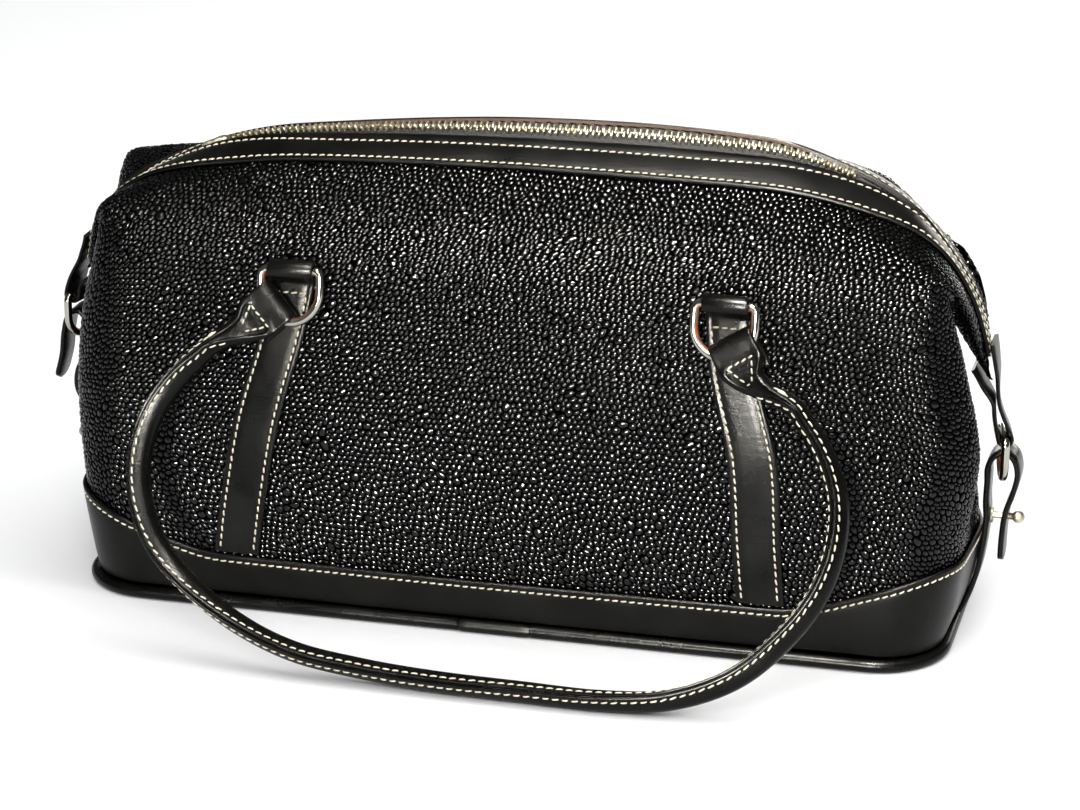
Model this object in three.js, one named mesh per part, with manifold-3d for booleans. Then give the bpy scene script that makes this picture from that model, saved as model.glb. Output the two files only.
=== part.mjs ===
// A zipped leather travel bag standing on its base, its front and back handles fallen to the floor.
// Millimetres, X along the length, front face towards -Y, floor at Z = 0, origin under the base's middle.
import * as THREE from 'three';
import { mergeVertices } from 'three/addons/utils/BufferGeometryUtils.js';
import loadManifold from 'manifold-3d';

// Driving sizes
const gap = 0.3;
const leather = { panel: 2, band: 1.8, binding: 1.5, strip: 2, endStrap: 2.6, handleTab: 2.2, base: 2.5 };
const layOff = 0.45;
const piping = { radius: 3, lift: 3.2, sides: 8, sleeveLength: 35, sleeveRadius: 3.5, outset: 4.25 };
const strip = { width: 22, footX: 127.4, leftTopX: -99, rightTopX: 107, barLevel: 4.78, footClear: 2.2 };
const stripCurl = THREE.MathUtils.degToRad(230);
const stripLift = { flatEnd: -9, liftStart: -5, liftEnd: -2, ease: 0.35 };
const handleRing = { width: 25, wire: 2, drop: 10, standOff: 8.4, corner: 3 };
const handleTube = { radius: 5.65, sides: 8, steps: 30 };
const handleTab = { halfWidth: 11, reach: 24, seat: 0.15, flatEnd: 18 };
const tabNeck = { reach: 29, halfWidth: 9.7, halfThick: 1.65 };
const endRing = { width: 20, wire: 2, drop: 9, corner: 2.5, twist: THREE.MathUtils.degToRad(12) };
const endStrap = { width: 16, tabWidth: 17 };
const stud = { height: 55, baseRadius: 4, baseThick: 1.2, neckRadius: 1.6, ballRadius: 3, holeRadius: 2.1 };
const studNeck = { left: 3, right: 8.6 };
const zip = { start: -0.56, end: 0.575, chainWidth: 6, chainThick: 2.4, chainClear: 0.6 };
const zipTape = { run: 0.625, thick: 1, edgeClear: 1.3, leastReach: 0.8 };
const slider = { start: -0.61, stop: -0.5615, width: 5, thick: 3, endTaper: 0.75 };
const bindingLevel = 6.48;
const bindingNarrow = { front: { start: 0.62, full: 0.82, rise: 0.16 }, back: { start: 0.4, full: 0.62, rise: 0.3 } };
const ridgeLevel = 7;
const shoulderLevel = 5;
const bandEdge = { foot: 7.3, front: 27.5, end: 49, startStation: 0.5, endStation: 0.8 };
const baseLift = leather.base + gap;

const palette = {
  pebbled: { color: 0x17171a, roughness: 0.45, metalness: 0 },
  smooth: { color: 0x1c1d1f, roughness: 0.4, metalness: 0 },
  tape: { color: 0x101011, roughness: 0.9, metalness: 0 },
  nickel: { color: 0xc9c5bb, roughness: 0.18, metalness: 1 },
  zipMetal: { color: 0xd8cfb8, roughness: 0.3, metalness: 1 },
};

// Level rows of the wall from the base up: plan half sizes, how far each end bows out in its middle,
// and how far the sagging right end falls back at its rear corner, easing in from the middle
const wallSections = [
  { z: baseLift, left: 205, right: 205, halfDepth: 67.5, corner: 28, leftBow: 0, rightBow: 0, rightSkew: 0 },
  { z: 26, left: 209, right: 211, halfDepth: 71.5, corner: 32, leftBow: 3, rightBow: 3, rightSkew: 3 },
  { z: 60, left: 214.5, right: 217, halfDepth: 73, corner: 36, leftBow: 3.5, rightBow: 0, rightSkew: 14 },
  { z: 100, left: 217.5, right: 225, halfDepth: 72, corner: 40, leftBow: -1.5, rightBow: -17, rightSkew: 29 },
  { z: 140, left: 214.5, right: 216.5, halfDepth: 65, corner: 36, leftBow: -13.5, rightBow: -19.5, rightSkew: 25 },
];
const skewEase = { start: 0.3, full: 0.75 };

// Folds of the upper wall by station out from the middle: pocket or shoulder, then roof or hanging ear edge
const upperFolds = [
  { station: 0, pocketX: 0, pocketY: 54, pocketZ: 176, edgeX: 0, edgeY: 34, edgeZ: 203 },
  { station: 0.42, pocketX: 112, pocketY: 55, pocketZ: 175, edgeX: 112, edgeY: 35, edgeZ: 201 },
  { station: 0.62, pocketX: 164, pocketY: 56, pocketZ: 174, edgeX: 164, edgeY: 36, edgeZ: 195 },
  { station: 0.7, pocketX: 185, pocketY: 54, pocketZ: 175, edgeX: 186, edgeY: 36, edgeZ: 189 },
  { station: 0.775, pocketX: 201, pocketY: 46, pocketZ: 176, edgeX: 204, edgeY: 37, edgeZ: 180 },
  { station: 0.855, pocketX: 205, pocketY: 33, pocketZ: 168, edgeX: 213, edgeY: 27, edgeZ: 162 },
  { station: 0.93, pocketX: 203, pocketY: 17, pocketZ: 157, edgeX: 216.5, edgeY: 15, edgeZ: 141 },
  { station: 1, pocketX: 200, pocketY: 0, pocketZ: 150, edgeX: 217, edgeY: 0, edgeZ: 125 },
];

// Ridge from ear tip to ear tip: zip centre line, half the open gap, and how far off it the edges sit
const ridge = [
  { station: -1, x: -220.5, z: 122, halfGap: 1, drop: 0, rise: 0 },
  { station: -0.93, x: -218.5, z: 147, halfGap: 1, drop: 0, rise: 0 },
  { station: -0.855, x: -215.5, z: 169, halfGap: 1, drop: 0, rise: 0 },
  { station: -0.77, x: -201, z: 183.5, halfGap: 1, drop: 0, rise: 0 },
  { station: -0.69, x: -183, z: 196.5, halfGap: 1, drop: 0, rise: 0 },
  { station: -0.56, x: -150, z: 211.5, halfGap: 3, drop: 0, rise: 0.5 },
  { station: -0.42, x: -112, z: 219, halfGap: 5.5, drop: 0.5, rise: 1 },
  { station: 0, x: 0, z: 229, halfGap: 6, drop: 5, rise: 1.5 },
  { station: 0.42, x: 112, z: 227, halfGap: 6, drop: 4, rise: 1.5 },
  { station: 0.56, x: 150, z: 216.5, halfGap: 3, drop: 1, rise: 0.5 },
  { station: 0.69, x: 179.5, z: 202, halfGap: 1, drop: 0, rise: 0 },
  { station: 0.77, x: 194.5, z: 187, halfGap: 1, drop: 0, rise: 0 },
  { station: 0.855, x: 208, z: 167.5, halfGap: 1, drop: 0, rise: 0 },
  { station: 0.93, x: 216, z: 147, halfGap: 1, drop: 0, rise: 0 },
  { station: 1, x: 220.5, z: 122, halfGap: 1, drop: 0, rise: 0 },
];

// The left ear hangs free and stands higher than the right one, which its fastened strap pulls down
const leftEar = { start: 0.8, out: 4, lift: 19, pocketLift: 15 };

// How far each shoulder stands above and outside the table, easing in from the middle and out at the ear
const shoulders = {
  frontLeft: { lift: 8, out: -2 },
  frontRight: { lift: 2, out: 0 },
  backLeft: { lift: 8, out: 14 },
  backRight: { lift: -0.7, out: -12.9 },
};
const shoulderEase = { start: 0.5, full: 0.76, end: 0.92 };

// Soft dents and swells of the panels: place by station and level, spread in both, depth inwards
const dents = [
  { face: 'front', station: 0.62, level: 3.1, spanStation: 0.07, spanLevel: 1.5, depth: 5 },
  { face: 'front', station: 0.3, level: 4.9, spanStation: 0.14, spanLevel: 0.8, depth: 3 },
  { face: 'front', station: 0.52, level: 5.6, spanStation: 0.12, spanLevel: 0.7, depth: -4 },
  { face: 'front', station: -0.55, level: 3.6, spanStation: 0.1, spanLevel: 1.2, depth: 4 },
  { face: 'front', station: -0.05, level: 2.2, spanStation: 0.22, spanLevel: 1, depth: -3 },
  { face: 'back', station: 0.1, level: 4.2, spanStation: 0.2, spanLevel: 1, depth: 4 },
  { face: 'back', station: -0.6, level: 3, spanStation: 0.08, spanLevel: 1.4, depth: 4 },
  { face: 'back', station: 0.6, level: 6.42, spanStation: 0.087, spanLevel: 0.3, depth: -9.5 },
];

// Front handle from its left tab to its right tab, the middle lying on the floor
const handlePath = [
  { x: -133, y: -82, z: 137 },
  { x: -147, y: -88, z: 123 },
  { x: -157.5, y: -95, z: 107 },
  { x: -162, y: -104, z: 88 },
  { x: -160, y: -112, z: 71 },
  { x: -150.5, y: -120.5, z: 52 },
  { x: -133, y: -128, z: 36 },
  { x: -109, y: -134.5, z: 22 },
  { x: -79, y: -140.5, z: 12.4 },
  { x: -45, y: -142.5, z: 8 },
  { x: -10, y: -144, z: 6.3 },
  { x: 30, y: -144.5, z: 6 },
  { x: 70, y: -144.5, z: 6 },
  { x: 100, y: -142.5, z: 9 },
  { x: 128, y: -137.5, z: 20 },
  { x: 148, y: -128, z: 37 },
  { x: 161.5, y: -119, z: 56 },
  { x: 167.5, y: -109, z: 77 },
  { x: 166, y: -100, z: 97 },
  { x: 156.5, y: -91, z: 116 },
  { x: 143, y: -84, z: 131 },
];

// Standing part of each end strap by height: clear of the wall, then its own free run out over the ring
const standingStrap = [
  { z: 7, off: 0 },
  { z: 16, off: 0 },
  { z: 28, off: 0 },
  { z: 42, off: 0 },
  { z: 55, off: 0.4 },
  { z: 64, off: 0.6 },
];
const fastenedRun = [
  { x: 221.4, z: 74 },
  { x: 221.4, z: 81 },
  { x: 224, z: 86.4 },
  { x: 228.4, z: 88.8 },
  { x: 233, z: 86.4 },
  { x: 235.4, z: 79 },
  { x: 233.6, z: 68.5 },
  { x: 230.6, z: 59 },
  { x: 229.4, z: 48 },
  { x: 229, z: 34 },
];
const looseRun = [
  { x: 227.6, z: 73 },
  { x: 231, z: 80.5 },
  { x: 230.5, z: 89 },
  { x: 226.6, z: 98 },
  { x: 224.2, z: 108 },
  { x: 224.8, z: 116 },
  { x: 229, z: 120.6 },
  { x: 234, z: 118 },
  { x: 236.8, z: 109 },
  { x: 238.4, z: 97 },
  { x: 242, z: 84 },
];

// Tab of each ear: it lies along the ear to its hug end, runs to the ring bar, turns under it and comes back up
// inside the ear, where levels of the skin give its last rows
const tabTwist = { full: 0.45, ease: 0.62 };
const ears = {
  right: {
    barX: 227.4,
    barZ: 96,
    outerTop: 142,
    hugEnd: 127,
    outerRun: [{ x: 224.4, z: 113 }, { x: 227, z: 105 }],
    innerRun: [{ x: 222.6, z: 105 }, { x: 221.8, z: 113 }, { x: 217.4, z: 120.4 }],
    innerLevels: [5.9, 5.78],
  },
  left: {
    barX: 229.5,
    barZ: 129,
    outerTop: 160,
    hugEnd: 147,
    outerRun: [{ x: 230.4, z: 138 }],
    innerRun: [{ x: 225.2, z: 134.5 }, { x: 220.8, z: 139.4 }],
    innerLevels: [5.86, 5.74],
  },
};

// Cubic curve through table rows: the value of one column at a knot position
function tableAt(rows, knot, column, at) {
  const last = rows.length - 2;
  let i = 0;
  while (i < last && at > rows[i + 1][knot]) i += 1;
  const slope = (k) => {
    const a = rows[Math.max(k - 1, 0)];
    const b = rows[Math.min(k + 1, rows.length - 1)];
    return (b[column] - a[column]) / (b[knot] - a[knot]);
  };
  const span = rows[i + 1][knot] - rows[i][knot];
  const s = (at - rows[i][knot]) / span;
  const rise = rows[i + 1][column] - rows[i][column];
  const ease = s * s * (3 - 2 * s);
  const lead = s * (1 - s) * (1 - s) * span * slope(i);
  const trail = s * s * (s - 1) * span * slope(i + 1);
  return rows[i][column] + rise * ease + lead + trail;
}

function easeBetween(low, high, at) {
  const s = Math.min(Math.max((at - low) / (high - low), 0), 1);
  return s * s * (3 - 2 * s);
}

// Point on half of a rounded rectangle with a bowed end, at a station from -1 to 1, the face towards -Y
function planPoint(section, station, skewShare) {
  const right = station >= 0;
  const halfLength = right ? section.right : section.left;
  const bow = right ? section.rightBow : section.leftBow;
  const skew = right ? section.rightSkew * skewShare : 0;
  const { halfDepth, corner } = section;
  const straight = halfLength - corner;
  const arc = corner * Math.PI / 2;
  const along = Math.abs(station) * (straight + arc + halfDepth - corner);
  let x = along;
  let y = -halfDepth;
  if (along > straight + arc) {
    x = halfLength;
    y = -(halfDepth - corner) + along - straight - arc;
  } else if (along > straight) {
    const turn = (along - straight) / corner;
    x = straight + corner * Math.sin(turn);
    y = -(halfDepth - corner) - corner * Math.cos(turn);
  }
  const cornerShare = easeBetween(0, halfDepth - corner / 2, -y);
  const skewed = cornerShare * easeBetween(skewEase.start, skewEase.full, Math.abs(station));
  x += bow * (1 - cornerShare) - skew * skewed;
  return new THREE.Vector3(right ? x : -x, y, section.z);
}

// The eight level points of one station, from the base to the ridge, on the front or the back face
function stationLevels(face, station) {
  const flip = face === 'front' ? 1 : -1;
  const out = Math.abs(station);
  const side = station < 0 ? -1 : 1;
  const skewShare = face === 'back' ? 1 : 0;
  const levels = wallSections.map((section) => planPoint(section, station, skewShare));
  const ear = side < 0 ? (Math.max(out - leftEar.start, 0) / (1 - leftEar.start)) ** 2 : 0;
  const shoulder = shoulders[face + (side < 0 ? 'Left' : 'Right')];
  const { start, full, end } = shoulderEase;
  const share = easeBetween(start, full, out) * (1 - easeBetween(full, end, out));
  const raise = shoulder.lift * share;
  const push = shoulder.out * share;
  const fold = (column) => tableAt(upperFolds, 'station', column, out);
  const pocketX = side * (fold('pocketX') + push);
  const pocketZ = fold('pocketZ') + raise + leftEar.pocketLift * ear;
  levels.push(new THREE.Vector3(pocketX, -fold('pocketY'), pocketZ));
  const edgeX = side * (fold('edgeX') + push + leftEar.out * ear);
  levels.push(new THREE.Vector3(edgeX, -fold('edgeY'), fold('edgeZ') + raise + leftEar.lift * ear));
  const top = (column) => tableAt(ridge, 'station', column, station);
  const edgeShift = face === 'front' ? -top('drop') : top('rise');
  const ridgeX = top('x') - leftEar.out * ear;
  levels.push(new THREE.Vector3(ridgeX, -top('halfGap'), top('z') + edgeShift + leftEar.lift * ear));
  levels.forEach((point) => point.setY(point.y * flip));
  return levels.map((point, level) => ({ level, x: point.x, y: point.y, z: point.z }));
}

function bareSkin(face, station, level) {
  const rows = stationLevels(face, station);
  return new THREE.Vector3(...['x', 'y', 'z'].map((axis) => tableAt(rows, 'level', axis, level)));
}

function dentDepth(face, station, level) {
  let depth = 0;
  for (const dent of dents.filter((row) => row.face === face)) {
    const a = (station - dent.station) / dent.spanStation;
    const b = (level - dent.level) / dent.spanLevel;
    depth += dent.depth * Math.exp(-(a * a + b * b) / 2);
  }
  return depth;
}

// Outward normal of the skin
function skinNormal(face, station, level) {
  const ds = 0.004;
  const dl = 0.03;
  const s0 = Math.max(station - ds, -1);
  const s1 = Math.min(station + ds, 1);
  const l0 = Math.max(level - dl, 0);
  const l1 = Math.min(level + dl, ridgeLevel);
  const along = bareSkin(face, s1, level).sub(bareSkin(face, s0, level));
  const up = bareSkin(face, station, l1).sub(bareSkin(face, station, l0));
  const normal = along.cross(up).normalize();
  return face === 'front' ? normal : normal.negate();
}

// Outer face of the body leather, stood off by an amount along its normal
function skin(face, station, level, off) {
  const point = bareSkin(face, station, level);
  return point.addScaledVector(skinNormal(face, station, level), off - dentDepth(face, station, level));
}

// Place between two limits where a rising measure reaches a target, by halving
function placeWhere(measure, target, low, high) {
  const halvings = 40;
  let from = low;
  let to = high;
  for (let i = 0; i < halvings; i += 1) {
    const middle = (from + to) / 2;
    if (measure(middle) < target) from = middle;
    else to = middle;
  }
  return (from + to) / 2;
}
const faceReach = 0.7;
function stationAtX(face, x, level) {
  return placeWhere((station) => bareSkin(face, station, level).x, x, -faceReach, faceReach);
}
function levelAtZ(face, station, z) {
  return placeWhere((level) => bareSkin(face, station, level).z, z, 0, shoulderLevel);
}

function closedGeometry(points, faces) {
  let volume = 0;
  for (const [a, b, c] of faces) {
    volume += points[a].dot(points[b].clone().cross(points[c]));
  }
  const index = faces.flatMap(([a, b, c]) => (volume > 0 ? [a, b, c] : [a, c, b]));
  const geometry = new THREE.BufferGeometry();
  geometry.setAttribute('position', new THREE.Float32BufferAttribute(points.flatMap((p) => p.toArray()), 3));
  geometry.setIndex(index);
  return geometry;
}

// Closed leaf of leather between an outer and an inner grid of points
function leaf(columns, rows, outer, inner) {
  const points = [];
  for (const side of [outer, inner]) {
    for (let i = 0; i < columns; i += 1) {
      for (let j = 0; j < rows; j += 1) points.push(side(i, j));
    }
  }
  const at = (side, i, j) => side * columns * rows + i * rows + j;
  const faces = [];
  const quad = (a, b, c, d) => faces.push([a, b, c], [a, c, d]);
  for (let i = 0; i < columns - 1; i += 1) {
    for (let j = 0; j < rows - 1; j += 1) {
      quad(at(0, i, j), at(0, i + 1, j), at(0, i + 1, j + 1), at(0, i, j + 1));
      quad(at(1, i, j), at(1, i, j + 1), at(1, i + 1, j + 1), at(1, i + 1, j));
    }
    quad(at(0, i, 0), at(1, i, 0), at(1, i + 1, 0), at(0, i + 1, 0));
    quad(at(0, i, rows - 1), at(0, i + 1, rows - 1), at(1, i + 1, rows - 1), at(1, i, rows - 1));
  }
  for (let j = 0; j < rows - 1; j += 1) {
    quad(at(0, 0, j), at(0, 0, j + 1), at(1, 0, j + 1), at(1, 0, j));
    quad(at(0, columns - 1, j), at(1, columns - 1, j), at(1, columns - 1, j + 1), at(0, columns - 1, j + 1));
  }
  return closedGeometry(points, faces);
}

// Closed solid through rings of points; a closed loop joins its last ring to its first
function loft(rings, loop) {
  const sides = rings[0].length;
  const points = rings.flat();
  const faces = [];
  const steps = loop ? rings.length : rings.length - 1;
  for (let i = 0; i < steps; i += 1) {
    const next = (i + 1) % rings.length;
    for (let j = 0; j < sides; j += 1) {
      const k = (j + 1) % sides;
      faces.push([i * sides + j, i * sides + k, next * sides + k]);
      faces.push([i * sides + j, next * sides + k, next * sides + j]);
    }
  }
  if (!loop) {
    const end = (rings.length - 1) * sides;
    for (let j = 1; j < sides - 1; j += 1) {
      faces.push([0, j + 1, j]);
      faces.push([end, end + j, end + j + 1]);
    }
  }
  return closedGeometry(points, faces);
}

// Ring of points round a centre: a circle at power 2, squarer above
function sectionRing(center, side, normal, halfWidth, halfThick, power, sides) {
  const bend = (value) => Math.sign(value) * Math.abs(value) ** (2 / power);
  return Array.from({ length: sides }, (_, j) => {
    const turn = ((j + 0.5) / sides) * 2 * Math.PI;
    return center.clone()
      .addScaledVector(side, halfWidth * bend(Math.cos(turn)))
      .addScaledVector(normal, halfThick * bend(Math.sin(turn)));
  });
}

const faces = ['front', 'back'];
const hands = ['left', 'right'];
const bag = new THREE.Group();
const materials = Object.fromEntries(
  Object.entries(palette).map(([name, finish]) => [name, new THREE.MeshStandardMaterial(finish)]),
);
function add(name, geometry, finish) {
  const mesh = new THREE.Mesh(geometry, materials[finish]);
  mesh.name = name;
  bag.add(mesh);
}

// Columns of the body grid, closer together round the corners and the ears
const flatColumns = 6;
const endColumns = 12;
const endStart = 0.6;
const halfColumns = [];
for (let i = 0; i <= flatColumns; i += 1) halfColumns.push((endStart * i) / flatColumns);
for (let i = 1; i <= endColumns; i += 1) halfColumns.push(endStart + ((1 - endStart) * i) / endColumns);
const stations = [...halfColumns.slice(1).map((v) => -v).reverse(), ...halfColumns];
const lowerLevels = [0, 0.6, 1.3, 2, 2.8, 3.6, 4.3, 5, 5.35, 5.7, 6, 6.28];
const bindingRows = 3;

// The bindings narrow towards the ends, and the panels' upper rows run with theirs
function bindingFoot(face, station) {
  const { start, full, rise } = bindingNarrow[face];
  return bindingLevel + rise * easeBetween(start, full, Math.abs(station));
}
function bindingRow(face, station, row) {
  const foot = bindingFoot(face, station);
  return foot + ((ridgeLevel - foot) * row) / (bindingRows - 1);
}
function panelLevel(face, station, row) {
  const upper = row - lowerLevels.length;
  return upper < 0 ? lowerLevels[row] : bindingRow(face, station, upper);
}

// At the end seams each half stops half a gap short of the middle plane
function seamed(point, face) {
  const limit = gap / 2;
  point.y = face === 'front' ? Math.min(point.y, -limit) : Math.max(point.y, limit);
  return point;
}

for (const face of faces) {
  const onSkin = (off) => (i, j) => {
    const level = panelLevel(face, stations[i], j);
    return seamed(skin(face, stations[i], level, off), face);
  };
  const panelRows = lowerLevels.length + bindingRows;
  const panel = leaf(stations.length, panelRows, onSkin(0), onSkin(-leather.panel));
  add(`${face}_panel`, panel, 'pebbled');
}

// Smooth band round the foot of the body, its upper edge rising towards the ends
function bandTop(station) {
  const { front, end, startStation, endStation } = bandEdge;
  return front + (end - front) * easeBetween(startStation, endStation, Math.abs(station));
}
const bandRows = 4;
for (const face of faces) {
  const onBand = (off) => (i, j) => {
    const station = stations[i];
    const z = bandEdge.foot + ((bandTop(station) - bandEdge.foot) * j) / (bandRows - 1);
    return seamed(skin(face, station, levelAtZ(face, station, z), off), face);
  };
  const band = leaf(stations.length, bandRows, onBand(layOff + leather.band), onBand(layOff));
  add(`base_band_${face}`, band, 'smooth');
}

// Base panel and the piping round it
const baseOut = 0.6;
const cornerSteps = 5;
function baseOutline(out) {
  const { left: halfLength, halfDepth, corner } = wallSections[0];
  const radius = corner + out;
  const centers = [[1, -1], [1, 1], [-1, 1], [-1, -1]];
  return centers.flatMap(([sx, sy], quarter) => Array.from({ length: cornerSteps + 1 }, (_, k) => {
    const turn = -Math.PI / 2 + (quarter + k / cornerSteps) * Math.PI / 2;
    const x = sx * (halfLength - corner) + radius * Math.cos(turn);
    const y = sy * (halfDepth - corner) + radius * Math.sin(turn);
    return new THREE.Vector2(x, y);
  }));
}
const baseShape = new THREE.Shape(baseOutline(baseOut));
const basePanel = new THREE.ExtrudeGeometry(baseShape, { depth: leather.base, bevelEnabled: false });
add('base_panel', basePanel, 'smooth');

const pipingLine = baseOutline(piping.outset);
const sleeveEnd = piping.sleeveLength / 2;
const frontY = pipingLine[0].y;
function pipeRing(point, before, after, radius) {
  const side = new THREE.Vector3(after.y - before.y, before.x - after.x, 0).normalize();
  const center = new THREE.Vector3(point.x, point.y, piping.lift);
  return sectionRing(center, side, new THREE.Vector3(0, 0, 1), radius, radius, 2, piping.sides);
}
const pipingRun = [
  new THREE.Vector2(sleeveEnd + gap, frontY),
  ...pipingLine,
  new THREE.Vector2(-sleeveEnd - gap, frontY),
];
const pipingRings = pipingRun.map((point, i) => {
  const before = pipingRun[Math.max(i - 1, 0)];
  const after = pipingRun[Math.min(i + 1, pipingRun.length - 1)];
  return pipeRing(point, before, after, piping.radius);
});
add('base_piping', loft(pipingRings, false), 'smooth');
const sleeveOut = piping.sleeveRadius - piping.radius;
const sleeveRun = [-sleeveEnd, sleeveEnd].map((x) => new THREE.Vector2(x, frontY - sleeveOut));
const sleeveRings = sleeveRun.map((point) => pipeRing(point, sleeveRun[0], sleeveRun[1], piping.radius));
add('piping_sleeve', loft(sleeveRings, false), 'smooth');

// Bindings sewn along both ridge edges and down the ears
const bindingStations = stations.slice(1, -1);
for (const face of faces) {
  const onBinding = (off) => (i, j) => {
    const level = bindingRow(face, bindingStations[i], j);
    return seamed(skin(face, bindingStations[i], level, off), face);
  };
  const outer = onBinding(layOff + leather.binding);
  add(`binding_${face}`, leaf(bindingStations.length, bindingRows, outer, onBinding(layOff)), 'smooth');
}

// Zip between the ridge edges: tape, chain and the slider at its left end
function zipFrame(station) {
  const frontEdge = skin('front', station, ridgeLevel, -leather.panel / 2);
  const backEdge = skin('back', station, ridgeLevel, -leather.panel / 2);
  const across = backEdge.clone().sub(frontEdge);
  const center = frontEdge.clone().addScaledVector(across, 0.5);
  const half = across.length() / 2;
  across.normalize();
  const nearby = 0.005;
  const behind = skin('front', station - nearby, ridgeLevel, 0);
  const ahead = skin('front', station + nearby, ridgeLevel, 0).sub(behind).normalize();
  const up = ahead.cross(across).normalize();
  return { center, across, up, half };
}
const tapeColumns = 19;
const onTape = (off) => (i, j) => {
  const station = zipTape.run * ((2 * i) / (tapeColumns - 1) - 1);
  const { center, across, up, half } = zipFrame(station);
  const reach = (j === 0 ? -1 : 1) * Math.max(half - zipTape.edgeClear, zipTape.leastReach);
  return center.clone().addScaledVector(across, reach).addScaledVector(up, off);
};
add('zip_tape', leaf(tapeColumns, 2, onTape(zipTape.thick / 2), onTape(-zipTape.thick / 2)), 'tape');

const chainSteps = 16;
const onTapeLift = zipTape.thick / 2 + layOff;
const chainRings = Array.from({ length: chainSteps + 1 }, (_, i) => {
  const { center, across, up, half } = zipFrame(zip.start + ((zip.end - zip.start) * i) / chainSteps);
  const halfWidth = Math.min(zip.chainWidth / 2, half - zip.chainClear);
  const middle = center.clone().addScaledVector(up, onTapeLift + zip.chainThick / 2);
  return sectionRing(middle, across, up, halfWidth, zip.chainThick / 2, 4, 6);
});
add('zip_chain', loft(chainRings, false), 'zipMetal');

// Plain slider at the closed end of the chain, seated on the tape between the bindings
const sliderRings = [0, 0.3, 0.7, 1].map((share) => {
  const { center, across, up, half } = zipFrame(slider.start + (slider.stop - slider.start) * share);
  const middle = center.clone().addScaledVector(up, onTapeLift + slider.thick / 2);
  const halfWidth = Math.min(slider.width / 2, half - zip.chainClear);
  const narrow = share === 0 || share === 1 ? slider.endTaper : 1;
  return sectionRing(middle, across, up, halfWidth * narrow, (slider.thick / 2) * narrow, 4, 8);
});
add('zip_slider', loft(sliderRings, false), 'zipMetal');

// Strips up each face, folded over the bar of a handle ring
const loopRadius = handleRing.wire + gap + leather.strip / 2;
const standOff = handleRing.standOff;
const restOff = layOff + leather.strip / 2;
function stripFrame(face, hand) {
  const topX = hand === 'left' ? strip.leftTopX : strip.rightTopX;
  const footX = hand === 'left' ? -strip.footX : strip.footX;
  const level = strip.barLevel;
  const station = stationAtX(face, topX, level);
  const dl = 0.2;
  const ds = 0.02;
  const apart = (a, b) => bareSkin(face, ...a).distanceTo(bareSkin(face, ...b));
  const rise = apart([station, level + dl], [station, level - dl]) / (2 * dl);
  const run = apart([station + ds, level], [station - ds, level]) / (2 * ds);
  const footStation = stationAtX(face, footX, 1);
  return { face, level, station, rise, run, lean: (footStation - station) / (level - 1) };
}
// A point of the strip by distance up from the bar, distance across, and stand-off
function onStrip(frame, up, across, off) {
  const level = frame.level + up / frame.rise;
  const station = frame.station + frame.lean * (frame.level - level) + across / frame.run;
  return skin(frame.face, station, level, off);
}
function stripRun(frame) {
  const footStation = frame.station + frame.lean * (frame.level - 1);
  const footLevel = levelAtZ(frame.face, footStation, bandEdge.front + strip.footClear);
  const foot = (footLevel - frame.level) * frame.rise;
  const { flatEnd, liftStart, liftEnd, ease } = stripLift;
  const flatSteps = 9;
  const run = Array.from({ length: flatSteps + 1 }, (_, i) => (
    { up: foot + ((flatEnd - foot) * i) / flatSteps, off: restOff }
  ));
  run.push({ up: liftStart, off: restOff + ease });
  run.push({ up: liftEnd, off: standOff - loopRadius - ease });
  const turns = 8;
  for (let i = 0; i <= turns; i += 1) {
    const turn = (stripCurl * i) / turns;
    run.push({ up: loopRadius * Math.sin(turn), off: standOff - loopRadius * Math.cos(turn) });
  }
  return run;
}
for (const face of faces) {
  for (const hand of hands) {
    const frame = stripFrame(face, hand);
    const run = stripRun(frame);
    const shifted = (amount) => (i, j) => {
      const here = run[i];
      const before = run[Math.max(i - 1, 0)];
      const after = run[Math.min(i + 1, run.length - 1)];
      const ahead = new THREE.Vector2(after.up - before.up, after.off - before.off).normalize();
      const across = (j - 0.5) * strip.width;
      return onStrip(frame, here.up - ahead.y * amount, across, here.off + ahead.x * amount);
    };
    const half = leather.strip / 2;
    add(`strip_${face}_${hand}`, leaf(run.length, 2, shifted(half), shifted(-half)), 'smooth');
  }
}

// Outline of a ring with one straight bar at the top and a half-round foot, in its own plane
function ringOutline({ width, wire, drop, corner }) {
  const half = width / 2 + wire;
  const outline = [];
  const arc = (cx, cy, radius, from, to, steps) => {
    for (let i = 0; i <= steps; i += 1) {
      const turn = from + ((to - from) * i) / steps;
      outline.push(new THREE.Vector2(cx + radius * Math.cos(turn), cy + radius * Math.sin(turn)));
    }
  };
  arc(0, -drop, half, Math.PI, 2 * Math.PI, 10);
  arc(half - corner, -corner, corner, 0, Math.PI / 2, 2);
  arc(corner - half, -corner, corner, Math.PI / 2, Math.PI, 2);
  return outline;
}
function ringGeometry(sizes, origin, across, up, normal) {
  const outline = ringOutline(sizes);
  const count = outline.length;
  const rings = outline.map((point, i) => {
    const before = outline[(i + count - 1) % count];
    const after = outline[(i + 1) % count];
    const ahead = after.clone().sub(before).normalize();
    const side = across.clone().multiplyScalar(ahead.y).addScaledVector(up, -ahead.x);
    const center = origin.clone().addScaledVector(across, point.x).addScaledVector(up, point.y);
    return sectionRing(center, side, normal, sizes.wire, sizes.wire, 2, 6);
  });
  return loft(rings, true);
}
function ringFrame(face, hand) {
  const frame = stripFrame(face, hand);
  const origin = onStrip(frame, 0, 0, standOff);
  const across = onStrip(frame, 0, 4, standOff).sub(onStrip(frame, 0, -4, standOff)).normalize();
  const foot = onStrip(frame, -handleRing.drop - handleRing.width / 2, 0, standOff);
  const normal = across.clone().cross(origin.clone().sub(foot)).normalize();
  if (face === 'back') normal.negate();
  const up = origin.clone().sub(foot).normalize();
  up.addScaledVector(across, -up.dot(across)).normalize();
  return { origin, across, up, normal };
}
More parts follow.
